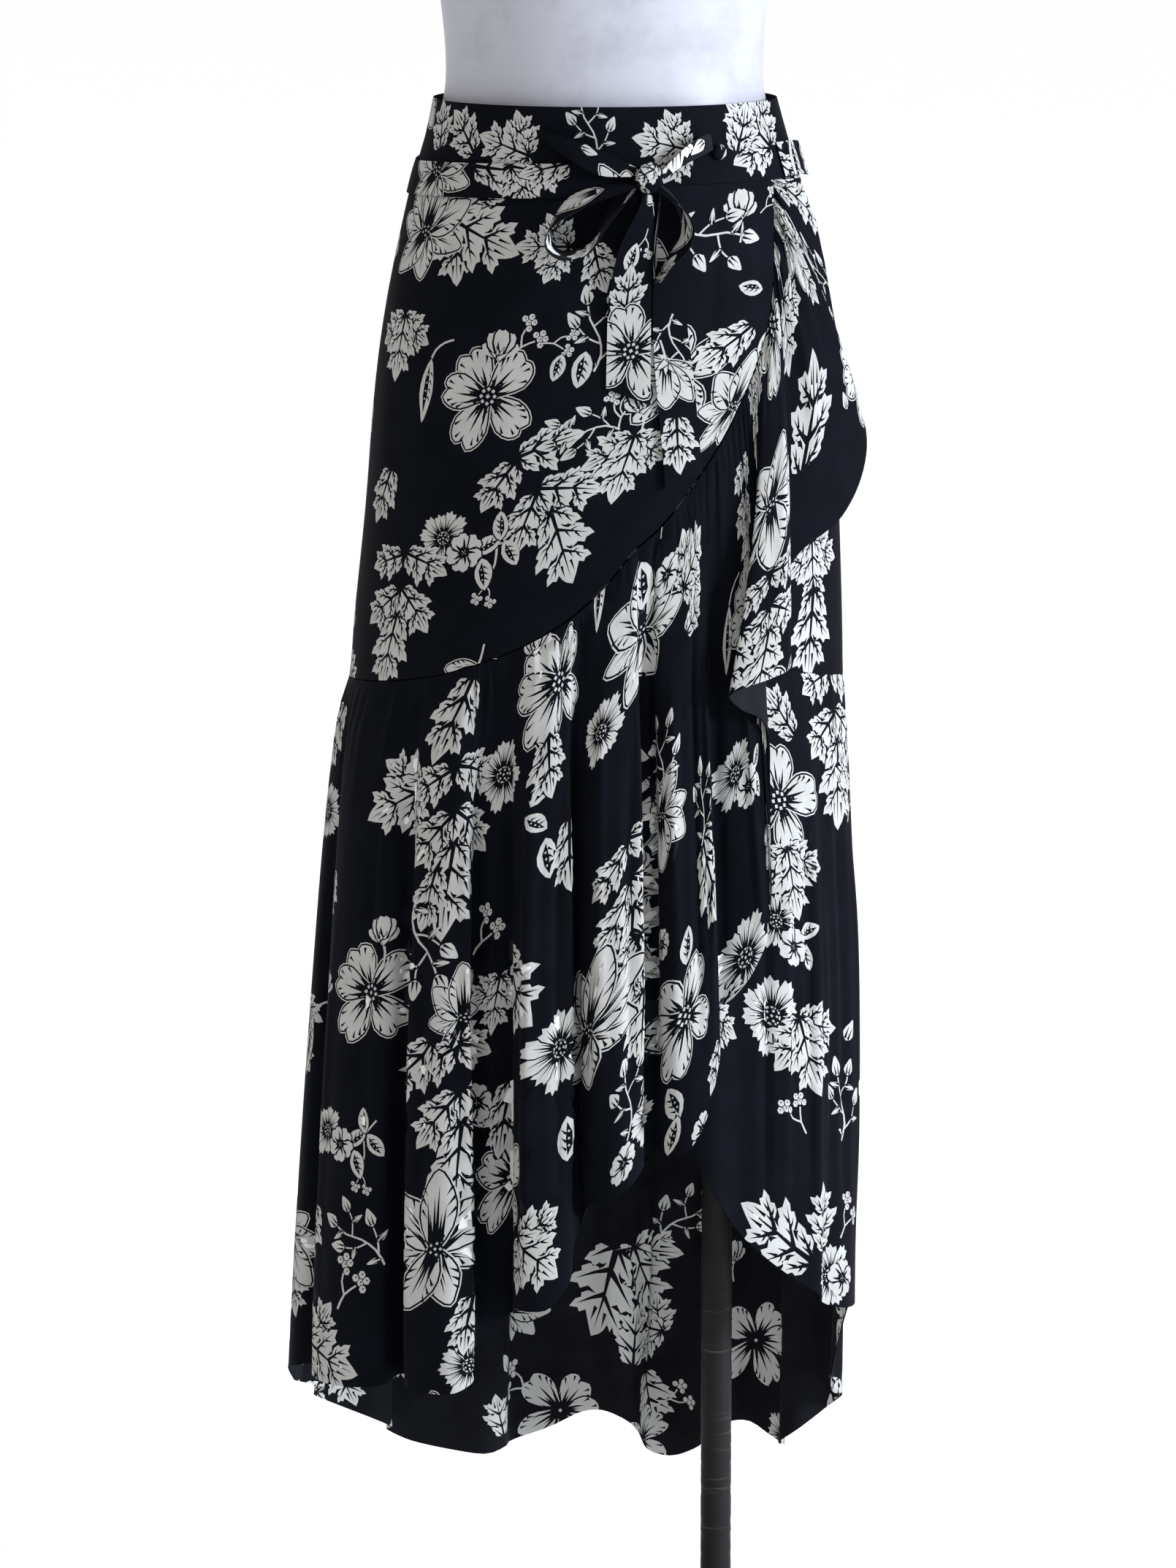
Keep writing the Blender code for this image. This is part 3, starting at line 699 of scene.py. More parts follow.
# ---------------------------------------------------------------- curves and surfaces
def eased(table, at=None, steps=1, key=None):
    """The table's rows at these values of its column key, or of the row's number, smooth in between."""
    rows = np.array(table, float)
    keys = np.arange(len(rows), dtype=float) if key is None else rows[:, key]
    if keys[0] > keys[-1]:
        keys, rows = keys[::-1], rows[::-1]
    last = len(rows) - 1
    if at is None:
        at = np.linspace(0, last, last * steps + 1)
    k = np.arange(last + 1)
    a, b = np.maximum(k - 1, 0), np.minimum(k + 1, last)
    slope = (rows[b] - rows[a]) / (keys[b] - keys[a])[:, None]
    at = np.clip(at, keys[0], keys[-1])
    i = np.clip(np.searchsorted(keys, at, side="right") - 1, 0, last - 1)
    span = (keys[i + 1] - keys[i])[..., None]
    t = (at - keys[i])[..., None] / span
    return (
        (2 * t**3 - 3 * t**2 + 1) * rows[i]
        + (t**3 - 2 * t**2 + t) * span * slope[i]
        + (3 * t**2 - 2 * t**3) * rows[i + 1]
        + (t**3 - t**2) * span * slope[i + 1]
    )


def on_body(angle, z, out):
    """Points on the outer cloth's ring at these angles and heights, moved out along its normal."""
    angle, z, out = np.broadcast_arrays(*(np.asarray(x, float) for x in (angle, z, out)))
    turn = np.radians(angle)
    ring = eased(BODY_RINGS, z, key=0)
    wide = np.where(np.sin(turn) > 0, ring[..., 2], ring[..., 1])
    deep = np.where(np.cos(turn) > 0, ring[..., 3], ring[..., 4])
    nx, ny = np.sin(turn) / wide, -np.cos(turn) / deep
    long = np.hypot(nx, ny)
    return np.stack([wide * np.sin(turn) + out * nx / long, -deep * np.cos(turn) + out * ny / long, z], -1)


def on_front(x, z, out):
    ring = eased(BODY_RINGS, z, key=0)
    wide = np.where(np.asarray(x) > 0, ring[..., 2], ring[..., 1])
    return on_body(np.degrees(np.arcsin(x / wide)), z, out)


def smooth_step(x, first=0.0, last=1.0):
    """0 up to first and 1 from last, smooth in between."""
    x = np.clip((x - first) / (last - first), 0, 1)
    return x * x * (3 - 2 * x)


MOTIF_HALF = 14  # the cloth is measured this far to each side of a motif's middle
TINY = 1e-6  # keeps a division from failing


class Cloth:
    """A piece of cloth: where each point of its flat cut lies on the skirt.

    points is a grid, in rows down and columns across. The flat cut is as wide as the row
    named by measure, and as long at each column as that column is.
    """

    def __init__(self, points, measure):
        self.points = points
        across = np.linalg.norm(np.diff(points[measure], axis=0), axis=1)
        self.across = np.concatenate([[0], np.cumsum(across)])
        down = np.linalg.norm(np.diff(points, axis=0), axis=2)
        self.length = down.sum(0)
        share = (down / self.length).mean(1)
        self.down = np.concatenate([[0], np.cumsum(share)])
        self.down /= self.down[-1]
        self.shape()

    def shape(self):
        du = np.gradient(self.points, axis=1)
        dv = np.gradient(self.points, axis=0)
        normal = np.cross(dv, du)
        self.normals = normal / np.maximum(np.linalg.norm(normal, axis=2, keepdims=True), 1e-9)

    def push(self, by):
        """Moves each point of the grid along its normal."""
        self.points = self.points + self.normals * by[..., None]
        self.shape()

    @property
    def width(self):
        return self.across[-1]

    def long_at(self, u):
        return np.interp(u, self.across, self.length)

    def drawn_in(self, u, v):
        """How much narrower the cloth lies at a flat point than it was cut."""
        us = np.clip(u + np.linspace(-MOTIF_HALF, MOTIF_HALF, 9), 0, self.width)
        vs = np.clip(v, 0, self.long_at(us))
        points, _ = self.at(us, vs)
        return np.linalg.norm(np.diff(points, axis=0), axis=1).sum() / (us[-1] - us[0] + TINY)

    def area(self):
        du, dv = np.diff(self.points, axis=1)[:-1], np.diff(self.points, axis=0)[:, :-1]
        return float(np.linalg.norm(np.cross(du, dv), axis=2).sum())

    def grid(self):
        """The flat place of each point of the grid."""
        u = np.broadcast_to(self.across, self.points.shape[:2])
        return u, self.down[:, None] * self.length[None, :]

    def at(self, u, v):
        """Places and normals of flat points."""
        c = np.interp(u, self.across, np.arange(len(self.across)))
        r = np.interp(v / self.long_at(u), self.down, np.arange(len(self.down)))
        c0 = np.clip(c.astype(int), 0, len(self.across) - 2)
        r0 = np.clip(r.astype(int), 0, len(self.down) - 2)
        fc, fr = (c - c0)[:, None], (r - r0)[:, None]

        def mixed(field):
            top = field[r0, c0] * (1 - fc) + field[r0, c0 + 1] * fc
            low = field[r0 + 1, c0] * (1 - fc) + field[r0 + 1, c0 + 1] * fc
            return top * (1 - fr) + low * fr

        normals = mixed(self.normals)
        return mixed(self.points), normals / np.linalg.norm(normals, axis=1, keepdims=True)


CREASE_FADE = 0.3  # the share of its length over which a crease fades at each end


def creased(cloth, creases):
    """Presses soft creases into a cloth. Each runs from one flat point to another.

    u0, v0, u1, v1, width, height. A crease fades at both ends and stands proud if its height
    is above 0.
    """
    u, v = cloth.grid()
    by = np.zeros(u.shape)
    for u0, v0, u1, v1, wide, high in creases:
        du, dv = u1 - u0, v1 - v0
        long2 = du * du + dv * dv
        part = ((u - u0) * du + (v - v0) * dv) / long2
        off = ((u - u0) * dv - (v - v0) * du) / math.sqrt(long2)
        fade = smooth_step(part, 0, CREASE_FADE) * smooth_step(1 - part, 0, CREASE_FADE)
        by += high * np.exp(-((off / wide) ** 2)) * fade
    cloth.push(by)


SIDE_FREE, SEAM_FREE = 8, 5  # gathers rise over this width from a side, and from the seam
GATHER_SINK = 0.45  # the share of their height by which the cloth sinks between them
GATHER_END = 1.4  # how suddenly they end on their way down


def gathered(cloth, seed, spacing, height, reach):
    """Presses the uneven gathers of a seam into the top of a flounce."""
    rng = random.Random(seed)
    u, v = cloth.grid()
    by = np.zeros(u.shape)
    at = spacing * 0.6
    while at < cloth.width - spacing * 0.5:
        lean = rng.uniform(-0.10, 0.10)
        wide = spacing * rng.uniform(0.24, 0.36)
        long = reach * rng.uniform(0.35, 1.5)
        high = height * rng.uniform(0.5, 1.2)
        off = (u - at - lean * v) / (wide + 0.05 * v)
        by += high * np.exp(-(off**2)) * np.exp(-((v / long) ** GATHER_END))
        at += spacing * rng.uniform(0.7, 1.35)
    by -= height * GATHER_SINK * np.exp(-((v / reach) ** GATHER_END))
    off_sides = smooth_step(u, 0, SIDE_FREE) * smooth_step(cloth.width - u, 0, SIDE_FREE)
    cloth.push(by * smooth_step(v, 0, SEAM_FREE) * off_sides)


# ---------------------------------------------------------------- printed cloth
def inside(line, points):
    """Which of the points lie inside an outline."""
    x, y = points[:, 0], points[:, 1]
    hit = np.zeros(len(points), bool)
    for (ax, ay), (bx, by) in zip(line, line[1:] + line[:1]):
        if ay != by:
            hit ^= ((ay > y) != (by > y)) & (x < (bx - ax) * (y - ay) / (by - ay) + ax)
    return hit


def inked(points, shapes, ink):
    """Lays the shapes' inks on the points, one over another."""
    for own, line in shapes:
        xs, ys = zip(*line)
        low, high = (min(xs), min(ys)), (max(xs), max(ys))
        near = np.flatnonzero(((points > low) & (points < high)).all(1))
        if len(near):
            ink[near[inside(line, points[near])]] = min(own, WHITE)


WELD = 0.01  # corners nearer than this are one
SLIVER = 1e-7  # square mm; a triangle has to be larger


def triangles(corners, edges):
    """Corners and triangles of a flat area, with an edge wherever one is asked for."""
    flat, _, faces, *_ = delaunay_2d_cdt([Vector(p) for p in corners], edges, [], 0, WELD, False)
    return np.array([tuple(p) for p in flat]), np.array(faces)


def outlined(shapes):
    """The lines of a motif along which its ink changes: points, and edges between them."""
    corners, edges = [], []
    for _, line in shapes:
        n = len(corners)
        edges += [(n + i, n + (i + 1) % len(line)) for i in range(len(line))]
        corners += line
    flat, tri = triangles(corners, edges)
    ink = np.zeros(len(tri), int)
    inked(flat[tri].mean(1), shapes, ink)
    sides = {}
    for k, face in enumerate(tri.tolist()):
        for a, b in zip(face, face[1:] + face[:1]):
            sides.setdefault((min(a, b), max(a, b)), []).append(ink[k])
    # The cloth round a motif is black, so a side that only a black triangle has isn't a change
    kept = [edge for edge, found in sides.items() if found[0] != (found[1] if len(found) == 2 else BLACK)]
    used = sorted({i for edge in kept for i in edge})
    place = {i: n for n, i in enumerate(used)}
    return [tuple(flat[i]) for i in used], [(place[a], place[b]) for a, b in kept]


def triangulated(loop, inner, motifs, cloth):
    """Triangles over a flat cut with the print's motifs cut into it, and each one's ink.

    motifs holds for each its middle, its reach, its shapes and their outlines, all placed.
    """
    corners = list(loop) + list(inner)
    edges = [(i, (i + 1) % len(loop)) for i in range(len(loop))]
    for _, _, _, points, lines in motifs:
        n = len(corners)
        corners += points
        edges += [(n + a, n + b) for a, b in lines]
    flat, tri = triangles(corners, edges)
    middle = flat[tri].mean(1)
    a, b, c = (flat[tri[:, k]] for k in range(3))
    area = np.abs((b[:, 0] - a[:, 0]) * (c[:, 1] - a[:, 1]) - (c[:, 0] - a[:, 0]) * (b[:, 1] - a[:, 1])) / 2
    within = (
        (middle[:, 0] > 0) & (middle[:, 0] < cloth.width) & (middle[:, 1] > 0)
        & (middle[:, 1] < cloth.long_at(middle[:, 0])) & (area > SLIVER)
    )
    tri, middle = tri[within], middle[within]
    ink = np.zeros(len(tri), int)
    for place, reach, shapes, _, _ in motifs:
        near = np.flatnonzero((np.abs(middle - place) < reach).all(1))
        if len(near):
            part = ink[near]
            inked(middle[near], shapes, part)
            ink[near] = part
    used, tri = np.unique(tri, return_inverse=True)
    return flat[used], tri.reshape(-1, 3), ink


def border_edges(tri):
    """The directed edges that only one triangle has."""
    edges = np.concatenate([tri[:, [0, 1]], tri[:, [1, 2]], tri[:, [2, 0]]])
    key = np.sort(edges, axis=1)
    _, index, count = np.unique(key, axis=0, return_index=True, return_counts=True)
    return edges[index[count == 1]]


def in_order(edges):
    follow = {int(a): int(b) for a, b in edges}
    start = at = int(edges[0][0])
    line = []
    while len(line) <= len(follow):
        line.append(at)
        at = follow[at]
        if at == start:
            return line
    raise ValueError("the border isn't one loop")


def laid(motif, u, v, turn, size, wide):
    """A motif placed on a flat cut, where v runs down."""
    shapes, points, lines, reach = motif
    turned = placed([*shapes, (BLACK, points)], turn=turn, size=size)
    *shapes, (_, points) = [(ink, [(u + x * wide, v - y) for x, y in line]) for ink, line in turned]
    return (u, v), reach * size * wide, shapes, points, lines


REVERSE = 2  # the wrong side's inks come after the face's two
HEM_PROUD = 0.12, 0.5  # how far a turned hem stands out on the face and on the wrong side
HEM_EDGE = 1.2  # the width over which it rises
WIDEST = 1.3  # a motif is printed at most this much wider where the cloth is drawn in


def printed(
    name, cloth, prints, mesh_step=(5.0, 15.0), half=0.35, hem=0.0, level=FULL,
    bold_from=math.inf, full_from=math.inf, bare_past=math.inf,
):
    """Makes a piece of printed cloth, as a closed thin shell.

    prints are the motifs on it: kind, u, v, turn and size. half is half the cloth's thickness,
    and hem the width of a hem that is turned to the inside at the foot. The print's main shapes
    show through on the wrong side from bold_from down, and its lines from full_from down, but
    nothing past bare_past across.
    """
    nu = max(2, round(cloth.width / mesh_step[0]))
    nv = max(2, round(cloth.length.max() / mesh_step[1]))
    us = np.linspace(0, cloth.width, nu + 1)
    longs = cloth.long_at(us)
    rows = [[(us[i], longs[i] * j / nv) for i in range(nu + 1)] for j in range(nv + 1)]
    middle = rows[1:-1]
    loop = rows[0] + [row[-1] for row in middle] + rows[-1][::-1] + [row[0] for row in middle[::-1]]
    inner = [p for row in middle for p in row[1:-1]]
    face, show_through = [], []
    for kind, u, v, turn, size in prints:
        reach = DRAWINGS[kind][1]
        if -reach < u < cloth.width + reach and -reach < v < cloth.length.max() + reach:
            how = u, v, turn, size, min(1 / max(cloth.drawn_in(u, v), TINY), WIDEST)
            face.append(laid(MOTIFS[kind][level], *how))
            if u <= bare_past and v > min(bold_from, full_from):
                show_through.append(laid(MOTIFS[kind][PLAIN if v > full_from else BOLD], *how))
    flat, tri, ink = triangulated(loop, inner, face, cloth)
    edge = in_order(border_edges(tri))
    flat2, tri2, ink2 = triangulated([tuple(flat[i]) for i in edge], inner, show_through, cloth)
    points, normals = [], []
    for side, spots, proud in ((1, flat, HEM_PROUD[0]), (-1, flat2, HEM_PROUD[1])):
        place, normal = cloth.at(spots[:, 0], spots[:, 1])
        off = np.full(len(spots), half)
        if hem:
            left = cloth.long_at(spots[:, 0]) - spots[:, 1]
            off += proud * smooth_step((hem + HEM_EDGE / 2 - left) / HEM_EDGE)
        points.append(place + normal * (side * off)[:, None])
        normals.append(normal * side)
    count = len(flat)
    a, b, c = (points[0][tri[:, k]] for k in range(3))
    facing = (np.cross(b - a, c - a) * normals[0][tri[:, 0]]).sum()
    front = tri if facing > 0 else tri[:, ::-1]
    back = (tri2[:, ::-1] if facing > 0 else tri2) + count
    behind = border_edges(tri2)[:, 0]
    match = {i: int(behind[np.argmin(((flat2[behind] - flat[i]) ** 2).sum(1))]) + count for i in edge}
    rim = []
    for a, b in border_edges(front).tolist():
        rim += [(b, a, match[a]), (b, match[a], match[b])]
    rim = [t for t in rim if len(set(t)) == 3]
    return meshed(
        name,
        np.concatenate(points) * MM,
        np.concatenate([front, back, np.array(rim)]),
        np.concatenate([ink, ink2 + REVERSE, np.zeros(len(rim), int)]),
        np.concatenate(normals),
        np.concatenate([flat, flat2]),
    )


def meshed(name, points, tris, inks, normals, flat):
    """Makes the mesh, with each triangle's ink as its material and the flat cut as its UV map."""
    mesh = bpy.data.meshes.new(name)
    mesh.vertices.add(len(points))
    mesh.vertices.foreach_set("co", points.astype(np.float32).ravel())
    mesh.loops.add(len(tris) * 3)
    mesh.loops.foreach_set("vertex_index", tris.astype(np.int32).ravel())
    mesh.polygons.add(len(tris))
    mesh.polygons.foreach_set("loop_start", np.arange(0, len(tris) * 3, 3, dtype=np.int32))
    mesh.polygons.foreach_set("material_index", inks.astype(np.int32))
    mesh.update(calc_edges=True)
    mesh.shade_smooth()
    layer = mesh.uv_layers.new(name="flat cut")
    layer.uv.foreach_set("vector", (flat[tris.ravel()] * MM).astype(np.float32).ravel())
    mesh.normals_split_custom_set_from_vertices(normals.tolist())
    for crepe_finish in CREPE:
        mesh.materials.append(crepe_finish)
    piece = bpy.data.objects.new(name, mesh)
    bpy.context.scene.collection.objects.link(piece)
    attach(piece, "root")
    return piece


# ---------------------------------------------------------------- finishes
def colour(code):
    """An sRGB hex value as a linear colour."""
    parts = [int(code[i : i + 2], 16) / 255 for i in (0, 2, 4)]
    return (*(c / 12.92 if c <= 0.04045 else ((c + 0.055) / 1.055) ** 2.4 for c in parts), 1)


def add(tree, kind, settings=None, links=None):
    """Adds a node, with its values set and its sockets joined to others."""
    made = tree.nodes.new(kind)
    for name, value in (settings or {}).items():
        if isinstance(name, str) and hasattr(made, name):
            setattr(made, name, value)
        else:
            made.inputs[name].default_value = value
    for name, source in (links or {}).items():
        tree.links.new(source, made.inputs[name])
    return made


def finish(name, base, settings):
    """A new material, its tree and its shader."""
    made = bpy.data.materials.new(name)
    made.use_nodes = True
    tree = made.node_tree
    shader = tree.nodes["Principled BSDF"]
    shader.inputs["Base Color"].default_value = colour(base)
    for socket, value in settings.items():
        shader.inputs[socket].default_value = value
    return made, tree, shader


def patterned(tree, shader, tone, tones, relief, strength, depth):
    """Shades a finish by one pattern's value, between two tones, and roughens it by another's."""
    ramp = add(tree, "ShaderNodeValToRGB", {}, {"Fac": tone})
    for element, (position, code) in zip(ramp.color_ramp.elements, tones):
        element.position, element.color = position, colour(code)
    tree.links.new(ramp.outputs["Color"], shader.inputs["Base Color"])
    bump = add(tree, "ShaderNodeBump", {"Strength": strength, "Distance": depth}, {"Height": relief})
    tree.links.new(bump.outputs["Normal"], shader.inputs["Normal"])


def crepe(name, low, high, sheen):
    """Polyester crepe: hard-twisted yarn that crinkles, so it is matt with a fine grain.

    The real grain is about 0.4 mm; it is drawn at 0.9 mm, or it wouldn't show. Its tone also
    clouds a little over about 35 mm.
    """
    settings = {"Roughness": 0.7, "Specular IOR Level": 0.025, "Sheen Weight": sheen, "Sheen Roughness": 0.4}
    made, tree, shader = finish(name, low, settings)
    flat_cut = {"Vector": add(tree, "ShaderNodeTexCoord").outputs["UV"]}
    grain = add(tree, "ShaderNodeTexNoise", {"Scale": 1 / 0.0009, "Detail": 2.0, "Roughness": 0.6}, flat_cut)
    cloudy = add(tree, "ShaderNodeTexNoise", {"Scale": 1 / 0.035, "Detail": 3.0}, flat_cut)
    both = add(
        tree, "ShaderNodeMath", {"operation": "MULTIPLY_ADD", 1: 0.55},
        {0: grain.outputs["Fac"], 2: cloudy.outputs["Fac"]},
    )
    tones = [(0.45, low), (1.0, high)]
    patterned(tree, shader, both.outputs["Value"], tones, grain.outputs["Fac"], 0.35, 0.0003)
    return made


# The face of the cloth and then its wrong side, where the print only shows through
CREPE = [
    crepe("crepe_ground_navy_black", "06070a", "0a0c12", 0.012),
    crepe("crepe_print_off_white", "969590", "a8a8a4", 0.02),
    crepe("crepe_reverse_ground", "101114", "1c1d21", 0.02),
    crepe("crepe_reverse_print", "c4c3be", "d4d4d0", 0.02),
]


def painted_form():
    """Moulded shell with white satin paint: a soft broad shine, over orange peel of about 3 mm.

    Pins and hands have scuffed it faintly, in patches of about 50 mm.
    """
    satin = {"Roughness": 0.42, "Specular IOR Level": 0.3}
    made, tree, shader = finish("form_satin_white_paint", "9e9ea5", satin)
    place = {"Vector": add(tree, "ShaderNodeTexCoord").outputs["Object"]}
    worn = add(tree, "ShaderNodeTexNoise", {"Scale": 1 / 0.05, "Detail": 5.0, "Roughness": 0.65}, place)
    orange_peel = add(tree, "ShaderNodeTexNoise", {"Scale": 1 / 0.003, "Detail": 2.0}, place)
    tones = [(0.28, "95959c"), (0.52, "a4a4ab")]
    patterned(tree, shader, worn.outputs["Fac"], tones, orange_peel.outputs["Fac"], 0.06, 0.0004)
    return made


def painted_pole():
    """Steel tube with worn black paint.

    The rings, about 9 mm apart, are where a clamp has been slid up and down.
    """
    made, tree, shader = finish("pole_black_paint", "0a0908", {"Roughness": 0.6, "Specular IOR Level": 0.2})
    place = {"Vector": add(tree, "ShaderNodeTexCoord").outputs["Object"]}
    squeezed = add(tree, "ShaderNodeMapping", {"Scale": (6.0, 6.0, 1 / 0.009)}, place)
    rings = add(
        tree, "ShaderNodeTexNoise", {"Scale": 1.0, "Detail": 4.0, "Roughness": 0.7},
        {"Vector": squeezed.outputs["Vector"]},
    ).outputs["Fac"]
    patterned(tree, shader, rings, [(0.60, "0d0c0b"), (0.74, "4a4641")], rings, 0.4, 0.0005)
    return made


def powder_coat():
    """Cast steel with black powder coat: satin, with the coat's fine pebble of about 1 mm."""
    made, tree, shader = finish("base_black_powder_coat", "161616", {"Roughness": 0.5})
    place = {"Vector": add(tree, "ShaderNodeTexCoord").outputs["Object"]}
    pebble = add(tree, "ShaderNodeTexNoise", {"Scale": 1 / 0.001, "Detail": 2.0}, place).outputs["Fac"]
    patterned(tree, shader, pebble, [(0.3, "121212"), (0.8, "1f1f20")], pebble, 0.3, 0.0003)
    return made


FORM_PAINT, POLE_PAINT, BASE_COAT = painted_form(), painted_pole(), powder_coat()


# ---------------------------------------------------------------- the print's repeat
MOTIFS = {}  # each drawing at the levels FULL, PLAIN and BOLD
for kind, (drawing, reach) in DRAWINGS.items():
    main = [(ink, line) for ink, line in drawing if ink != RIM and abs(spread(line)) > FINE]
    bold = [(ink, line) for ink, line in main if ink == WHITE]
    MOTIFS[kind] = [(shapes, *outlined(shapes), reach) for shapes in (drawing, main, bold)]
REPEAT = (244, 284)  # across, and down; every other column drops by half
CROWD = 0.66  # a motif of the repeat keeps this share of both reaches from a laid-out one
CROWD_ACROSS = 0.8  # sideways, a distance counts for this share of itself
# One repeat: kind, across and down from its open flower, turn, size
SPRIG = [
    ("leaf_chain", 14, 30, -34, 1.0),
    ("leaf_chain", -88, -34, 8, 0.9),
    ("leaf_fan", -48, -138, 84, 0.95),
    ("leaf_fan", 98, 34, 176, 0.95),
    ("leaf", -62, -112, 160, 1.0),
    ("capsule", -50, -26, 188, 1.0),
    ("open_flower", 0, 0, 0, 1.0),
    ("cup", 5, -49, 4, 1.0),
    ("berries", 26, -40, 30, 1.0),
    ("pointed_flower", -74, -132, 140, 0.92),
    ("oval", -22, 108, 62, 1.0),
    ("oval", -18, 112, 158, 1.0),
    ("daisy", -52, 98, 12, 1.05),
    ("blossom", -32, 116, 30, 1.0),
    ("cup", 98, 12, -8, 1.15),
    ("spray", 92, -44, -24, 0.95),
    ("side_flower", 40, 168, 196, 0.9),
    ("bud", 50, -96, 30, 1.3),
]

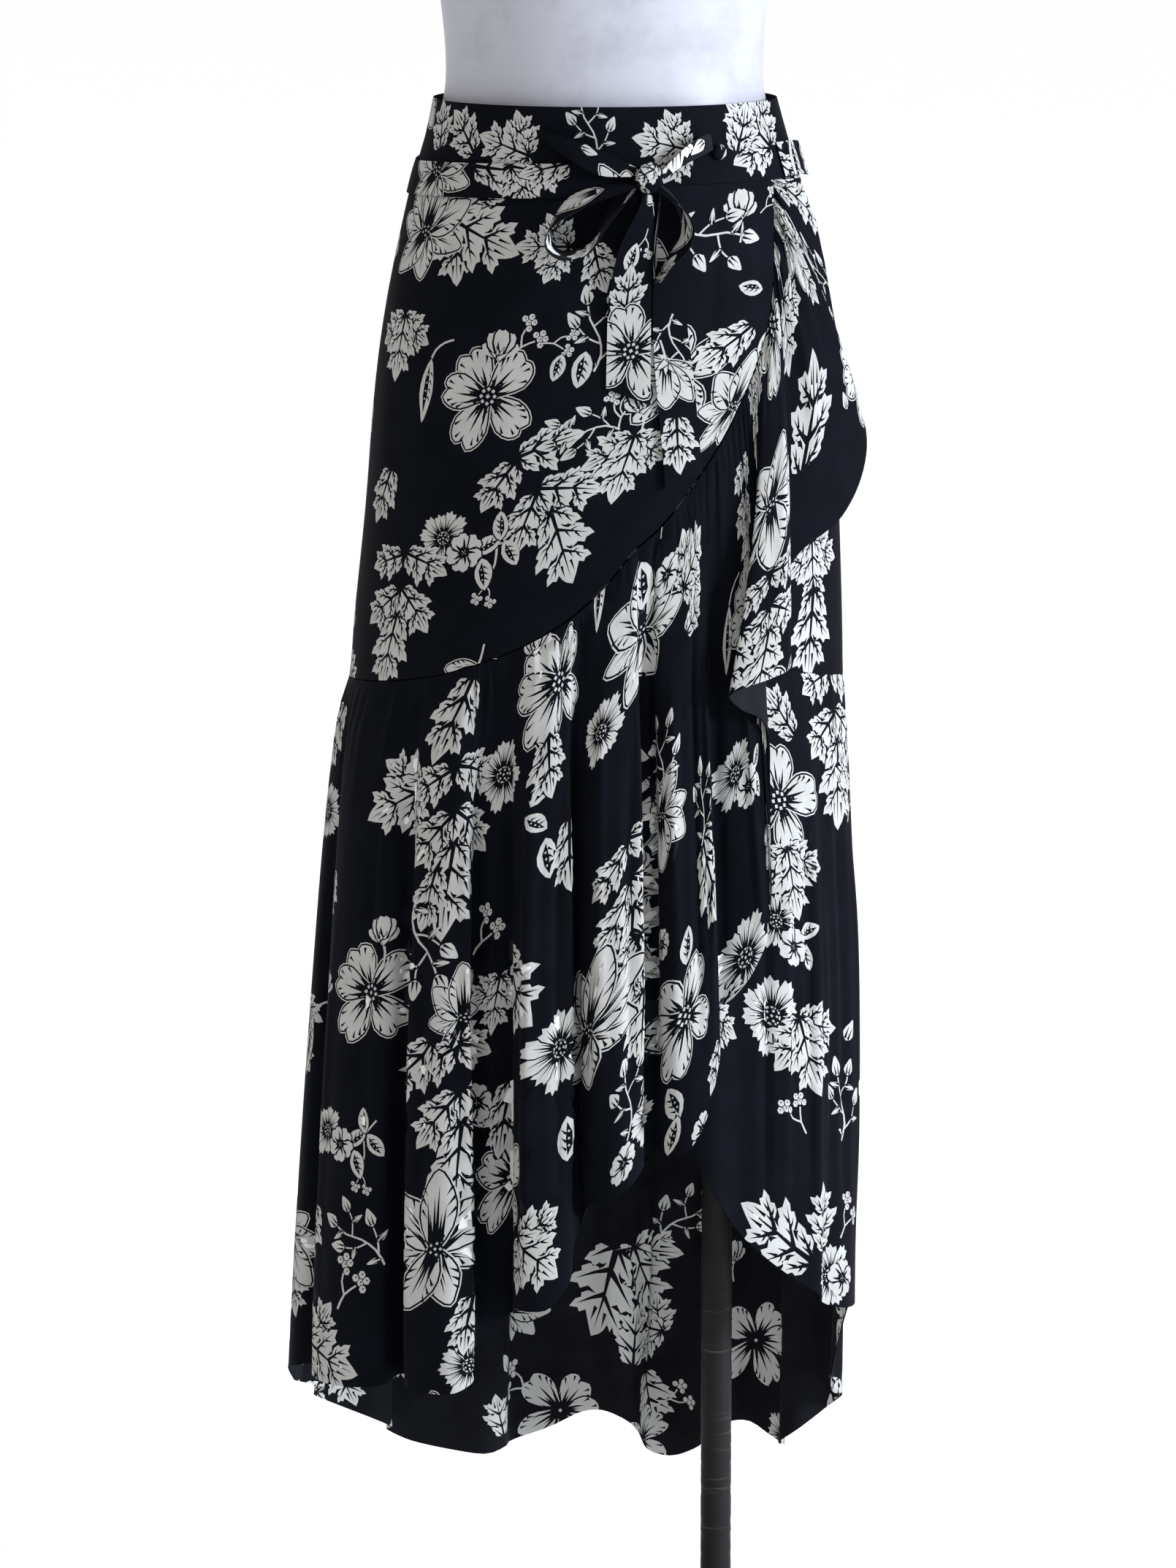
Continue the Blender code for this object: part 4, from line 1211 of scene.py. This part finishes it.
# Where the motifs lie on the cuts that show: kind, across, down, turn, size
LAID_OUT = {
    "yoke_front": [
        ("leaf", 85, 36, -50, 1.0), ("leaf", 47, 36, -20, 0.9), ("leaf_fan", 129, 36, -80, 0.8),
        ("spray", 178, 40, -8, 0.72), ("leaf_fan", 247, 32, -84, 0.75), ("leaf_fan", 323, 33, -50, 1.0),
        ("leaf", 289, 36, 22, 1.0),
    ],
    "panel_front": [
        ("open_flower", 151, 156, 0, 1.0), ("cup", 156, 128, 0, 1.15), ("berries", 166, 127, 10, 1.0),
        ("berries", 189, 116, 62, 0.8), ("capsule", 97, 131, 183, 1.0),
        ("leaf_chain", 184, 206, -36, 1.12), ("daisy_spray", 139, 268, 0, 1.0),
        ("leaf_fan", 95, 28, 104, 1.15), ("pointed_flower", 65, 38, 12, 1.0),
        ("leaf_fan", 60, 104, 175, 0.85), ("leaf", 6, 172, 196, 0.9), ("leaf", 65, 217, 196, 1.1),
        ("leaf_chain", 93, 282, 4, 1.0), ("spray", 231, 137, -6, 0.85), ("oval", 223, 122, 186, 1.2),
        ("oval", 205, 124, 192, 0.9), ("leaf_fan", 197, 45, -98, 0.72), ("leaf", 218, 44, 152, 0.9),
        ("open_flower", 301, 143, 20, 1.0), ("leafy_blossom", 274, 185, 0, 0.9),
        ("spray", 260, 181, -97, 0.75), ("pointed_flower", 376, 176, 5, 0.9), ("cup", 347, 27, 0, 1.2),
        ("berries", 370, 25, 24, 0.7), ("spray", 282, 24, 112, 1.0), ("oval", 376, 85, -76, 0.95),
        ("leaf", 368, 112, -132, 1.15), ("oval", 384, 135, 34, 1.0),
    ],
    "panel_under": [("leaf_fan", 201, 274, 172, 0.9), ("leaf", 201, 312, 182, 1.6)],
    "flounce_front": [
        ("pointed_flower", 588, 65, 0, 1.1), ("oval", 591, 49, -3, 1.6), ("leaf_fan", 651, 61, 55, 1.0),
        ("berries", 618, 8, -20, 0.8), ("blossom", 624, 39, 0, 0.9), ("leaf", 651, 97, 62, 0.9),
        ("pointed_flower", 1045, 123, 175, 1.05), ("leaf_chain", 1049, 181, 3, 0.9),
        ("leaf_chain", 842, 43, 8, 0.8), ("leaf", 1180, 171, 18, 1.9), ("bud", 1258, 159, 0, 1.0),
        ("leaf", 1022, 208, 182, 1.2), ("open_flower", 431, 41, 0, 1.1), ("cup", 403, 9, 0, 1.0),
        ("leaf", 286, 9, 203, 1.6), ("leaf_fan", 222, 83, -120, 1.05), ("leaf_chain", 272, 78, 4, 1.2),
        ("leaf", 256, 149, 192, 1.1), ("daisy", 352, 91, 0, 1.2), ("oval", 404, 124, 38, 1.2),
        ("oval", 399, 130, 132, 1.0), ("oval", 417, 152, 172, 1.4), ("leaf", 450, 147, 175, 1.3),
        ("leaf", 419, 79, 170, 1.1), ("pointed_flower", 613, 212, 180, 0.85), ("spray", 613, 199, 0, 0.85),
        ("leaf_chain", 559, 210, 0, 1.1), ("leaf_chain", 567, 284, 0, 0.9), ("leaf", 676, 260, 150, 1.8),
        ("spray", 671, 262, 10, 0.85), ("daisy", 777, 385, 0, 1.4), ("spray", 811, 388, 62, 0.8),
        ("oval", 636, 336, 8, 1.2), ("blossom", 612, 308, 0, 0.8), ("open_flower", 166, 237, 10, 1.0),
        ("cup", 178, 199, 0, 1.1), ("spray", 231, 169, 165, 1.05), ("berries", 318, 223, 10, 1.2),
        ("leaf_fan", 348, 245, 185, 0.75), ("leaf", 366, 228, 142, 1.7),
        ("pointed_flower", 286, 263, 0, 0.85), ("leaf_chain", 279, 288, 2, 1.25),
        ("leaf", 254, 279, 222, 1.4), ("daisy", 434, 316, 0, 1.4), ("pointed_flower", 515, 320, 20, 1.2),
        ("leaf_chain", 716, 420, -22, 1.15), ("open_flower", 634, 373, -10, 1.05),
        ("oval", 628, 447, -22, 1.3), ("oval", 617, 470, 20, 1.2), ("blossom", 655, 471, 0, 0.9),
        ("daisy", 578, 424, 0, 0.9), ("spray", 553, 426, 4, 0.85), ("blossom", 549, 440, 0, 0.9),
        ("open_flower", 359, 402, 20, 1.05), ("leaf", 357, 326, 186, 1.4), ("blossom", 323, 337, 0, 1.0),
        ("oval", 442, 404, 0, 1.5), ("leaf_fan", 391, 447, 130, 1.0),
        ("pointed_flower", 260, 436, 5, 1.25), ("daisy_spray", 127, 349, 0, 0.9),
        ("spray", 183, 446, -52, 0.9), ("berries", 141, 482, 0, 1.3), ("leaf_fan", 101, 513, 100, 1.15),
        ("leaf", 104, 404, 190, 1.2), ("leaf", 290, 476, 184, 1.1), ("leaf", 49, 20, 194, 1.4),
        ("leaf", 95, 146, 184, 1.0),
    ],
    "flounce_under": [
        ("open_flower", 255, 101, 30, 1.1), ("leaf", 279, 49, -52, 1.1), ("leaf_fan", 264, 139, 162, 0.95),
        ("leaf_chain", 345, 0, 0, 1.15), ("daisy", 243, 268, 0, 1.45), ("leaf_fan", 276, 269, 152, 1.1),
        ("berries", 285, 357, -62, 1.1), ("spray", 345, 363, -6, 0.9), ("leaf", 288, 456, -66, 1.8),
        ("leaf", 310, 448, -8, 1.3), ("daisy", 328, 469, 0, 1.2), ("blossom", 340, 471, 0, 1.0),
        ("berries", 338, 439, 10, 1.1), ("spray", 365, 114, 0, 0.8),
    ],
    "flounce_back": [
        ("leaf_fan", 453, 488, 200, 1.2), ("leaf", 474, 488, 158, 1.9), ("spray", 408, 491, -42, 0.85),
        ("leaf_fan", 406, 564, 62, 0.8), ("leaf", 455, 585, -12, 1.2), ("leaf", 426, 596, 188, 1.2),
        ("berries", 408, 627, -92, 1.0), ("open_flower", 531, 632, 0, 0.95),
        ("side_flower", 583, 541, -100, 0.9), ("berries", 553, 619, 30, 1.2), ("leaf", 602, 642, 10, 0.9),
        ("open_flower", 433, 653, 20, 0.8), ("open_flower", 281, 564, 0, 0.95),
    ],
    "knot": [
        ("leaf", 66, 6, 232, 0.55), ("petal", 50, 22, 160, 0.45), ("bud", 30, 14, 90, 1.0),
        ("leaf", 20, 30, 40, 0.5),
    ],
    "bow_loop_left_top": [("petal", 3, 86, 198, 0.6), ("bud", 4, 40, 0, 0.9)],
    "bow_loop_left_low": [
        ("petal", 9, 26, 178, 0.9), ("petal", 14, 66, 172, 0.8), ("leaf", 12, 132, 4, 0.7),
    ],
    "bow_loop_right_top": [("bud", 4, 40, 20, 1.0), ("bud", 4, 78, 160, 1.0)],
    "bow_loop_right_low": [("petal", 6, 20, 182, 1.0), ("leaf", 8, 98, 0, 0.9), ("petal", 7, 140, 2, 0.9)],
    "bow_tail_front": [
        ("berries", 27, 26, 160, 0.7), ("oval", 13, 58, 8, 0.95), ("leaf", 14, 92, -4, 0.95),
        ("open_flower", 19, 116, 24, 0.9),
    ],
    "bow_tail_back": [
        ("spray", 18, 92, 176, 0.7), ("side_flower", 9, 128, 184, 0.8), ("leaf", 14, 168, 176, 1.0),
    ],
    "belt": [
        ("pointed_flower", 521, 7, 12, 0.9), ("leaf", 559, 2, 88, 1.2), ("leaf_fan", 592, 2, 92, 0.8),
        ("leaf", 635, 0, 250, 0.9),
    ],
}


def filled(name, cloth, u0, v0):
    """The motifs laid out on a piece, and the repeat wherever they leave room for it."""
    laid_out = LAID_OUT.get(name, [])

    def free(kind, u, v, _, size):
        return all(
            math.hypot((u - x) * CROWD_ACROSS, v - y)
            > CROWD * (DRAWINGS[kind][1] * size + DRAWINGS[other][1] * other_size)
            for other, x, y, _, other_size in laid_out
        )

    return [row for row in repeated(cloth, u0, v0) if free(*row)] + laid_out


def repeated(cloth, u0, v0):
    """The print over a whole piece, with one repeat's open flower at this place."""
    wide, long = REPEAT
    made = []
    for i in range(-math.ceil(u0 / wide) - 1, math.ceil((cloth.width - u0) / wide) + 2):
        drop = long / 2 if i % 2 else 0
        for j in range(-math.ceil(v0 / long) - 2, math.ceil((cloth.length.max() - v0) / long) + 2):
            u, v = u0 + i * wide, v0 + j * long + drop
            made += [(kind, u + x, v + y, turn, size) for kind, x, y, turn, size in SPRIG]
    return made


# ---------------------------------------------------------------- waistband and panels
def seam(table, drop=0.0):
    """Gives the height of a seam at an angle, or of an edge that lies below it by the drop."""
    return lambda angle: eased(table, angle, key=0)[..., 1] - drop


def ringed(first, last, top, low, out, rows=40, columns=160):
    """A smooth panel round the body between two heights."""
    angles = np.linspace(first, last, columns + 1)[None, :]
    down = np.linspace(0, 1, rows + 1)[:, None]
    z = top + (low(angles) - top) * down
    return Cloth(on_body(angles, z, out(angles)), rows // 2)


def on_line(angle):
    return 0 * angle


def under_out(angle):
    """The under wrap comes out to the side seam over its last part."""
    return UNDER_OUT * (1 - smooth_step(angle, *UNDER_RISE))


def front_panel():
    """The outer wrap: its +X side is the wrap edge, which runs in to the lower corner."""
    rows, columns = 40, 160
    zs = np.linspace(PANEL_TOP, float(seam(OUTER_SEAM)(OUTER_CORNER)), rows + 1)
    angles = np.linspace(OUTER_CORNER, OUTER_SEAM[-1][0], 400)
    edge = np.interp(zs, seam(OUTER_SEAM)(angles), angles) - EDGE_SETBACK
    left = FRONT_ANGLES[0]
    part = np.linspace(0, 1, columns + 1)[None, :]
    foot = seam(OUTER_SEAM, -2 * GAP)(left + (OUTER_CORNER - left) * part)
    down = np.linspace(0, 1, rows + 1)[:, None]
    z = PANEL_TOP + (foot - PANEL_TOP) * down
    return Cloth(on_body(left + (edge[:, None] - left) * part, z, 0), rows // 2)


# ---------------------------------------------------------------- flounces
def inside_sides(table, first, last=None):
    """The table with its first row at one angle, and its last at another if there is one."""
    rows = [list(row) for row in table]
    rows[0][:2] = [first, first]
    if last is not None:
        rows[-1][:2] = [last, last]
    return rows


def flounce(table, top_edge, base_out, steps=10, rows=72):
    """A gathered flounce from its seam down to its hem."""
    seam_angle, angle, out, hem = eased(table, steps=steps).T
    down = (np.linspace(0, 1, rows + 1) ** ROW_CROWD)[:, None]
    top = top_edge(seam_angle)
    inner = base_out(seam_angle)
    a = seam_angle + (angle - seam_angle) * down**FAN_LATE
    z = top + (hem - top) * down
    return Cloth(on_body(a, z, inner + (out - inner) * down**FOLD_EARLY), rows)


def yoke_foot(angle):
    return YOKE_SEAM + GAP / 2 + on_line(angle)


CLOTHS = {
    "yoke_front": ringed(*FRONT_ANGLES, WAIST_TOP, yoke_foot, on_line, rows=16),
    "yoke_back": ringed(*BACK_ANGLES, WAIST_TOP, yoke_foot, on_line, rows=16),
    "panel_front": front_panel(),
    "panel_under": ringed(
        *UNDER_ANGLES, PANEL_TOP - GAP, seam(UNDER_SEAM, -GAP / 2), under_out, rows=30, columns=90
    ),
    "panel_back": ringed(*BACK_ANGLES, PANEL_TOP, seam(BACK_SEAM, -GAP / 2), on_line),
    "flounce_front": flounce(inside_sides(FRONT_FOLDS, FRONT_ANGLES[0]), seam(OUTER_SEAM, GAP), on_line),
    "flounce_under": flounce(
        inside_sides(UNDER_FOLDS, *UNDER_ANGLES), seam(UNDER_SEAM, GAP / 2), under_out
    ),
    "flounce_back": flounce(inside_sides(BACK_FOLDS, *BACK_ANGLES), seam(BACK_SEAM, GAP / 2), on_line),
}
# From one flat point to another, width and height. The flounces' creases run down from their
# gathers; the panels pull softly toward the tie, and sag a little between their seams.
CREASES = {
    "flounce_front": [
        (70, 60, 76, 640, 12, -6.0), (112, 150, 104, 600, 6, 2.2), (166, 40, 160, 420, 6, -2.7),
        (204, 20, 206, 640, 7, -7.5), (182, 240, 184, 640, 6, 3.0), (243, 60, 246, 520, 6, -3.3),
        (226, 90, 229, 640, 5, 3.2), (288, 60, 291, 600, 5, 6.1), (318, 30, 316, 600, 9, -9.8),
        (362, 40, 358, 520, 8, -6.8), (338, 120, 341, 560, 6, 2.7), (404, 60, 398, 520, 6, 4.9),
        (432, 120, 428, 480, 6, -3.0), (474, 30, 478, 460, 8, -9.0), (452, 80, 449, 470, 5, 4.1),
        (502, 150, 500, 480, 6, 2.4), (532, 40, 526, 440, 6, 4.3), (560, 130, 556, 460, 6, -3.3),
        (594, 30, 596, 440, 8, -9.0), (574, 60, 570, 440, 5, 4.3), (628, 90, 624, 460, 6, 4.6),
        (668, 60, 652, 430, 7, -3.9), (706, 90, 690, 420, 6, 4.1), (750, 110, 748, 480, 8, -6.8),
        (800, 140, 806, 420, 8, 3.8), (856, 180, 852, 360, 8, -3.9), (1012, 60, 1008, 260, 8, -4.5),
        (1066, 60, 1062, 240, 8, 3.5), (1130, 60, 1134, 220, 9, -4.5), (1196, 50, 1200, 190, 9, 3.2),
    ],
    "flounce_under": [
        (236, 30, 238, 480, 6, -5.2), (262, 90, 258, 480, 6, 3.2), (292, 40, 288, 470, 7, -5.2),
        (318, 120, 316, 460, 6, 3.0), (344, 30, 346, 480, 7, -4.5), (372, 90, 374, 460, 6, 2.7),
        (120, 40, 124, 440, 7, -4.5), (60, 60, 56, 400, 7, 3.5),
    ],
    "flounce_back": [
        (46, 40, 50, 560, 7, -5.2), (92, 80, 88, 560, 6, 3.5), (140, 30, 144, 600, 7, -6.0),
        (196, 60, 190, 560, 6, 3.2), (236, 40, 240, 620, 7, -6.8), (282, 120, 276, 600, 6, 3.5),
        (322, 30, 326, 640, 8, -6.8), (372, 90, 366, 600, 6, 4.1), (430, 40, 426, 640, 8, -7.5),
        (474, 120, 470, 620, 6, 3.2), (520, 40, 526, 640, 7, -6.8), (566, 90, 560, 600, 6, 3.8),
        (614, 40, 618, 620, 8, -6.8), (662, 120, 656, 600, 6, 3.2), (708, 30, 712, 620, 7, -6.0),
        (752, 90, 746, 560, 6, 3.8), (800, 40, 804, 580, 7, -6.0), (850, 80, 844, 540, 6, 3.2),
        (892, 40, 896, 540, 6, -4.5),
    ],
    "panel_front": [
        (250, 2, 150, 96, 9, 1.3), (262, 6, 196, 120, 7, -1.0), (290, 4, 276, 150, 7, 1.4),
        (236, 2, 96, 60, 10, -0.9), (320, 4, 330, 140, 8, -1.1), (352, 10, 372, 120, 7, 1.2),
        (40, 40, 56, 260, 14, 1.0), (110, 180, 200, 300, 16, -0.9),
    ],
    "panel_back": [
        (120, 8, 96, 220, 16, 1.4), (200, 20, 214, 280, 14, -1.3), (300, 10, 310, 260, 15, 1.4),
        (400, 20, 420, 240, 14, -1.3), (40, 60, 60, 330, 14, -1.0), (460, 60, 452, 330, 14, 1.0),
    ],
    "yoke_front": [
        (60, 30, 150, 40, 5, 0.8), (110, 14, 196, 30, 4, -0.7), (196, 44, 250, 30, 4, 0.8),
        (250, 20, 330, 34, 5, -0.7), (300, 10, 340, 44, 5, 0.8),
    ],
    "yoke_back": [(60, 20, 180, 30, 6, 0.8), (150, 40, 260, 28, 5, -0.7), (250, 18, 340, 36, 6, 0.8)],
}
for name, creases in CREASES.items():
    creased(CLOTHS[name], creases)
for name, seed, spacing, height, reach in [
    ("flounce_front", 5, 11.0, 2.6, 60),
    ("flounce_under", 6, 11.0, 1.2, 50),
    ("flounce_back", 7, 12.0, 2.4, 60),
]:
    gathered(CLOTHS[name], seed, spacing, height, reach)


def belted():
    """The tie's run round the waist, pinched where it goes into the knot."""
    rows, columns = 12, 360
    first, last = BELT_LINE[0][0], BELT_LINE[-1][0]
    angles = first + (last - first) * np.linspace(0, 1, columns + 1)
    line = eased(BELT_LINE, angles, key=0)
    high = BELT_HEIGHT * (1 - BELT_PINCH * smooth_step(angles, *BELT_NARROWS))
    part = np.linspace(-0.5, 0.5, rows + 1)[:, None]
    return Cloth(on_body(angles, line[:, 1] - part * high, line[:, 2]), rows // 2)


# ---------------------------------------------------------------- the bow
def beside_knot(z, out, side):
    """Where x meets the knot at this height, to one side of it."""
    wide, deep, high = KNOT["half"]
    rest = KNOT_CLEAR**2 - ((z - KNOT["z"]) / high) ** 2 - ((out - KNOT["out"]) / deep) ** 2
    return KNOT["x"] + side * wide * math.sqrt(rest)


def below_knot(x, out):
    """The height at which the knot is met from below."""
    wide, deep, high = KNOT["half"]
    rest = KNOT_CLEAR**2 - ((x - KNOT["x"]) / wide) ** 2 - ((out - KNOT["out"]) / deep) ** 2
    return KNOT["z"] - high * math.sqrt(rest)


def meet_knot(table, side):
    """The table with its ends brought to the knot."""
    rows = []
    for row in table:
        row = list(row)
        for x in (0, 3):
            if row[x] is None:
                row[x] = beside_knot(row[x + 1], row[x + 2], side)
            if row[x + 1] is None:
                row[x + 1] = below_knot(row[x], row[x + 2])
        rows.append(row)
    return rows


def ribbon(table, steps=8, across=14):
    """A strip of the tie between two edges. Its rows run along the tie."""
    rows = eased(table, steps=steps)[:, None, :]
    s = np.linspace(0, 1, across + 1)[None, :]
    x, z, out = (rows[..., c] + (rows[..., c + 3] - rows[..., c]) * s for c in range(3))
    points = on_front(x, z, out)
    return Cloth(points, int(np.linalg.norm(points[:, -1] - points[:, 0], axis=1).argmax()))


SHEETS = []


def sewn(name, cloth, prints, held, rests_on, **how):
    """Makes a printed piece, and notes the flat cut that it was made from."""
    piece = printed(name + "_cloth", cloth, prints, **how)
    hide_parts(name)
    SHEETS.append((piece, cloth, held, rests_on))


# Where the repeat starts on each piece, how it hangs and from what, and then how it is printed
for name, u0, v0, held, carrier, how in [
    ("yoke_front", 60, 120, "hung", "form", {}),
    ("yoke_back", 160, 20, "hung", "form", {"level": PLAIN}),
    ("panel_front", 150, 195, "hung", "yoke_front_cloth", {}),
    ("panel_under", 30, 40, "hung", "yoke_front_cloth", {}),
    ("panel_back", 100, 100, "hung", "yoke_back_cloth", {"level": PLAIN}),
    (
        "flounce_front", 95, 290, "gathered", "panel_front_cloth",
        {"hem": 4, "mesh_step": (6, 20), "bold_from": -200, "bare_past": 960},
    ),
    ("flounce_under", 300, 380, "gathered", "panel_under_cloth", {"hem": 4, "bold_from": 200}),
    (
        "flounce_back", 300, 260, "gathered", "panel_back_cloth",
        {"hem": 4, "mesh_step": (7, 22), "level": PLAIN, "full_from": 400},
    ),
]:
    sewn(name, CLOTHS[name], filled(name, CLOTHS[name], u0, v0), held, [carrier], **how)
belt = belted()
on_waistband = ["yoke_front_cloth", "yoke_back_cloth"]
sewn("belt", belt, filled("belt", belt, 560, 20), "draped", on_waistband, mesh_step=(4, 4), half=0.5)
for name, table, side, u0, v0 in [
    ("bow_loop_left_top", LOOP_LEFT_TOP, -1, 10, 120),
    ("bow_loop_left_low", LOOP_LEFT_LOW, -1, 40, 60),
    ("bow_loop_right_top", LOOP_RIGHT_TOP, 1, 0, 150),
    ("bow_loop_right_low", LOOP_RIGHT_LOW, 1, 60, 20),
    ("bow_tail_front", TAIL_FRONT, 1, 16, 100),
    ("bow_tail_back", TAIL_BACK, 1, -60, 150),
]:
    strip = ribbon(meet_knot(table, side))
    prints = filled(name, strip, u0, v0)
    sewn(name, strip, prints, "draped", ["belt_cloth"], mesh_step=(2.5, 3), half=0.45, full_from=-200)


# ---------------------------------------------------------------- knot and button
PINHOLE = 0.04  # radians left open at each end of the knot and the button


def ball(centre, half, wrinkles, around, up, turn=0.0):
    """A round piece of cloth, open by a pinhole at each end, whose folds wrinkles gives."""
    lon = np.linspace(0, 2 * math.pi, around + 1)[None, :]
    lat = np.linspace(PINHOLE, math.pi - PINHOLE, up + 1)[:, None]
    size = 1 + wrinkles(lon, lat)
    x, y, z = np.sin(lat) * np.sin(lon), -np.sin(lat) * np.cos(lon), np.cos(lat) + 0 * lon
    x, y, z = x * half[0] * size, y * half[1] * size, z * half[2] * size
    c, s = math.cos(turn), math.sin(turn)
    return Cloth(np.stack([x * c - y * s, x * s + y * c, z], -1) + centre, up // 2)


def knotted(lon, lat):
    """Three big twists and seven small ones round the knot."""
    big = 0.10 * np.sin(3 * lon + 2.2 * lat) * np.sin(lat)
    small = 0.05 * np.cos(7 * lon + 1.4 * lat) * np.sin(lat)
    return big - small - 0.02


def taut(lon, lat):
    return 0 * lon * lat


knot = ball(on_front(KNOT["x"], KNOT["z"], KNOT["out"]), KNOT["half"], knotted, around=48, up=28)
# The knot's print runs on over the join of its flat cut
folded_over = [(kind, u - knot.width, *where) for kind, u, *where in LAID_OUT["knot"]]
piece = printed("bow_knot_cloth", knot, LAID_OUT["knot"] + folded_over, mesh_step=(1.6, 1.6), half=0.3)
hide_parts("bow_knot")
x, z, seat = BUTTON["x"], BUTTON["z"], WALL / 2 + GAP + BUTTON["dome"]
centre = on_front(x, z, seat)
outward = on_front(x, z, seat + 1) - centre
facing = math.atan2(outward[1], outward[0]) + math.pi / 2
half = (BUTTON["radius"], BUTTON["dome"], BUTTON["radius"])
button = ball(centre, half, taut, around=40, up=24, turn=facing)
piece = printed("covered_button_cloth", button, [("leaf", 0, 16, 0, 1.0)], mesh_step=(1, 1), half=0.2)
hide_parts("covered_button")


# ---------------------------------------------------------------- the stand
def surface(name, points, faces, material, node, smooth):
    """Makes a piece of the stand."""
    mesh = bpy.data.meshes.new(name)
    mesh.from_pydata([tuple(p * MM) for p in np.asarray(points).reshape(-1, 3)], [], faces)
    mesh.shade_smooth()
    mesh.set_sharp_from_angle(angle=math.radians(smooth))
    mesh.materials.append(material)
    piece = bpy.data.objects.new(name, mesh)
    bpy.context.scene.collection.objects.link(piece)
    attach(piece, "root")
    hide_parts(node)


def looped(rows, around):
    """Quads between rings of points, with both ends closed."""
    faces = []
    ends = range(0, rows * around, around)
    for low, high in zip(ends, ends[1:]):
        for k in range(around):
            n = (k + 1) % around
            faces.append((low + k, low + n, high + n, high + k))
    return [*faces, tuple(range(around))[::-1], tuple(range(ends[-1], rows * around))]


def turned(name, profile, x, material, node, around=64, smooth=40):
    """A turned piece on an upright axis at x, from the bottom up.

    A row: z, half-width, half-depth in front and behind. Edges sharper than smooth degrees show.
    """
    z, wide, front, behind = np.array(profile, float).T[..., None]
    turn = np.linspace(0, 2 * math.pi, around + 1)[None, :-1]
    deep = np.where(np.cos(turn) > 0, front, behind)
    points = np.stack([x + wide * np.sin(turn), -deep * np.cos(turn), z + 0 * turn], -1)
    surface(name, points, looped(len(profile), around), material, node, smooth)


def round_profile(rows):
    """A turned profile of radius and height, as rows of z, half-width and half-depths."""
    return [(z, radius, radius, radius) for radius, z in rows]


rings = eased(FORM_RINGS, np.linspace(FORM_RINGS[0][0], FORM_RINGS[-1][0], 140), key=0)
turned("form_shell", rings, 0, FORM_PAINT, "form", around=96, smooth=50)
cap = [
    (47.2, 1700.3), (48, 1701), (48, 1703), (47.4, 1705), (46, 1707), (40, 1709.2), (30, 1711), (15, 1711.8),
    (1, 1712),
]
turned("neck_cap_shell", round_profile(cap), 0, BASE_COAT, "neck_cap")
rng = random.Random(11)
worn = (0, 0, 0.1, 0.25)  # depths of the paint's worn rings
pole = [(POLE_RADIUS, POLE_FOOT)]
while pole[-1][1] < POLE_TOPS[0]:
    radius = POLE_RADIUS - rng.choice(worn)
    pole.append((radius, min(pole[-1][1] + rng.uniform(1.5, 7), POLE_TOPS[1])))
turned("pole_tube", round_profile(pole), POLE_X, POLE_PAINT, "pole", around=48)
foot = [
    (168, 0), (169.4, 0.6), (170, 2), (170, 8), (169.4, 10.6), (168, 12.6), (165, 14.6), (161, 16), (100, 16),
    (20, 16),
]
turned("base_plate", round_profile(foot), 0, BASE_COAT, "base", around=128)

for piece, cloth, held, rests_on in SHEETS:
    flat = (cloth.width * MM, cloth.length.max() * MM)
    area = min(cloth.area() * MM * MM, flat[0] * flat[1])


# ---------------------------------------------------------------- floor, light and camera
FLOOR_HALF = 300  # metres; it has to reach past the horizon of a low view
LIT_MIDDLE = (0, 0, 0.8)  # what the lights face, in metres
LENS = 137.28
CAMERA_AT = (-0.0123, -4.5, 1.62)  # metres
CAMERA_TILT = 11.03  # degrees below level


def studio():
    scene = bpy.context.scene
    mesh = bpy.data.meshes.new("floor")
    corners = [(x * FLOOR_HALF, y * FLOOR_HALF, 0) for x, y in ((-1, -1), (1, -1), (1, 1), (-1, 1))]
    mesh.from_pydata(corners, [], [(0, 1, 2, 3)])
    pale, _, _ = finish("floor_matt_white", "f8f8f8", {"Roughness": 0.9, "Specular IOR Level": 0.1})
    mesh.materials.append(pale)
    floor = bpy.data.objects.new("floor", mesh)
    scene.collection.objects.link(floor)
    world = bpy.data.worlds.new("pale_room")
    world.use_nodes = True
    tree = world.node_tree
    way = add(tree, "ShaderNodeTexCoord")
    height = add(tree, "ShaderNodeSeparateXYZ", {}, {"Vector": way.outputs["Generated"]})
    brighter_above = {"From Min": 0.1, "From Max": 1.0, "To Min": 0.09, "To Max": 1.70}
    ramp = add(tree, "ShaderNodeMapRange", brighter_above, {"Value": height.outputs["Z"]})
    background = tree.nodes["Background"]
    background.inputs["Color"].default_value = colour("fcfcfe")
    tree.links.new(ramp.outputs["Result"], background.inputs["Strength"])
    scene.world = world
    for name, at, size, watts, tint in [
        ("window", (3.4, -1.6, 1.7), 1.0, 250, "e8f0ff"),
        ("room_left", (-3.0, -2.4, 0.7), 1.4, 5, "fff0e0"),
    ]:
        lamp = bpy.data.lights.new(name, "AREA")
        lamp.energy, lamp.size, lamp.color = watts, size, colour(tint)[:3]
        light = bpy.data.objects.new(name, lamp)
        light.location = at
        light.rotation_euler = (Vector(LIT_MIDDLE) - Vector(at)).to_track_quat("-Z", "Y").to_euler()
        scene.collection.objects.link(light)
    lens = bpy.data.cameras.new("camera")
    lens.lens = LENS
    lens.sensor_width = 36
    camera = bpy.data.objects.new("camera", lens)
    camera.location = CAMERA_AT
    camera.rotation_euler = (math.radians(90 - CAMERA_TILT), 0, 0)
    scene.collection.objects.link(camera)
    scene.camera = camera
    scene.view_settings.view_transform = "Standard"


studio()
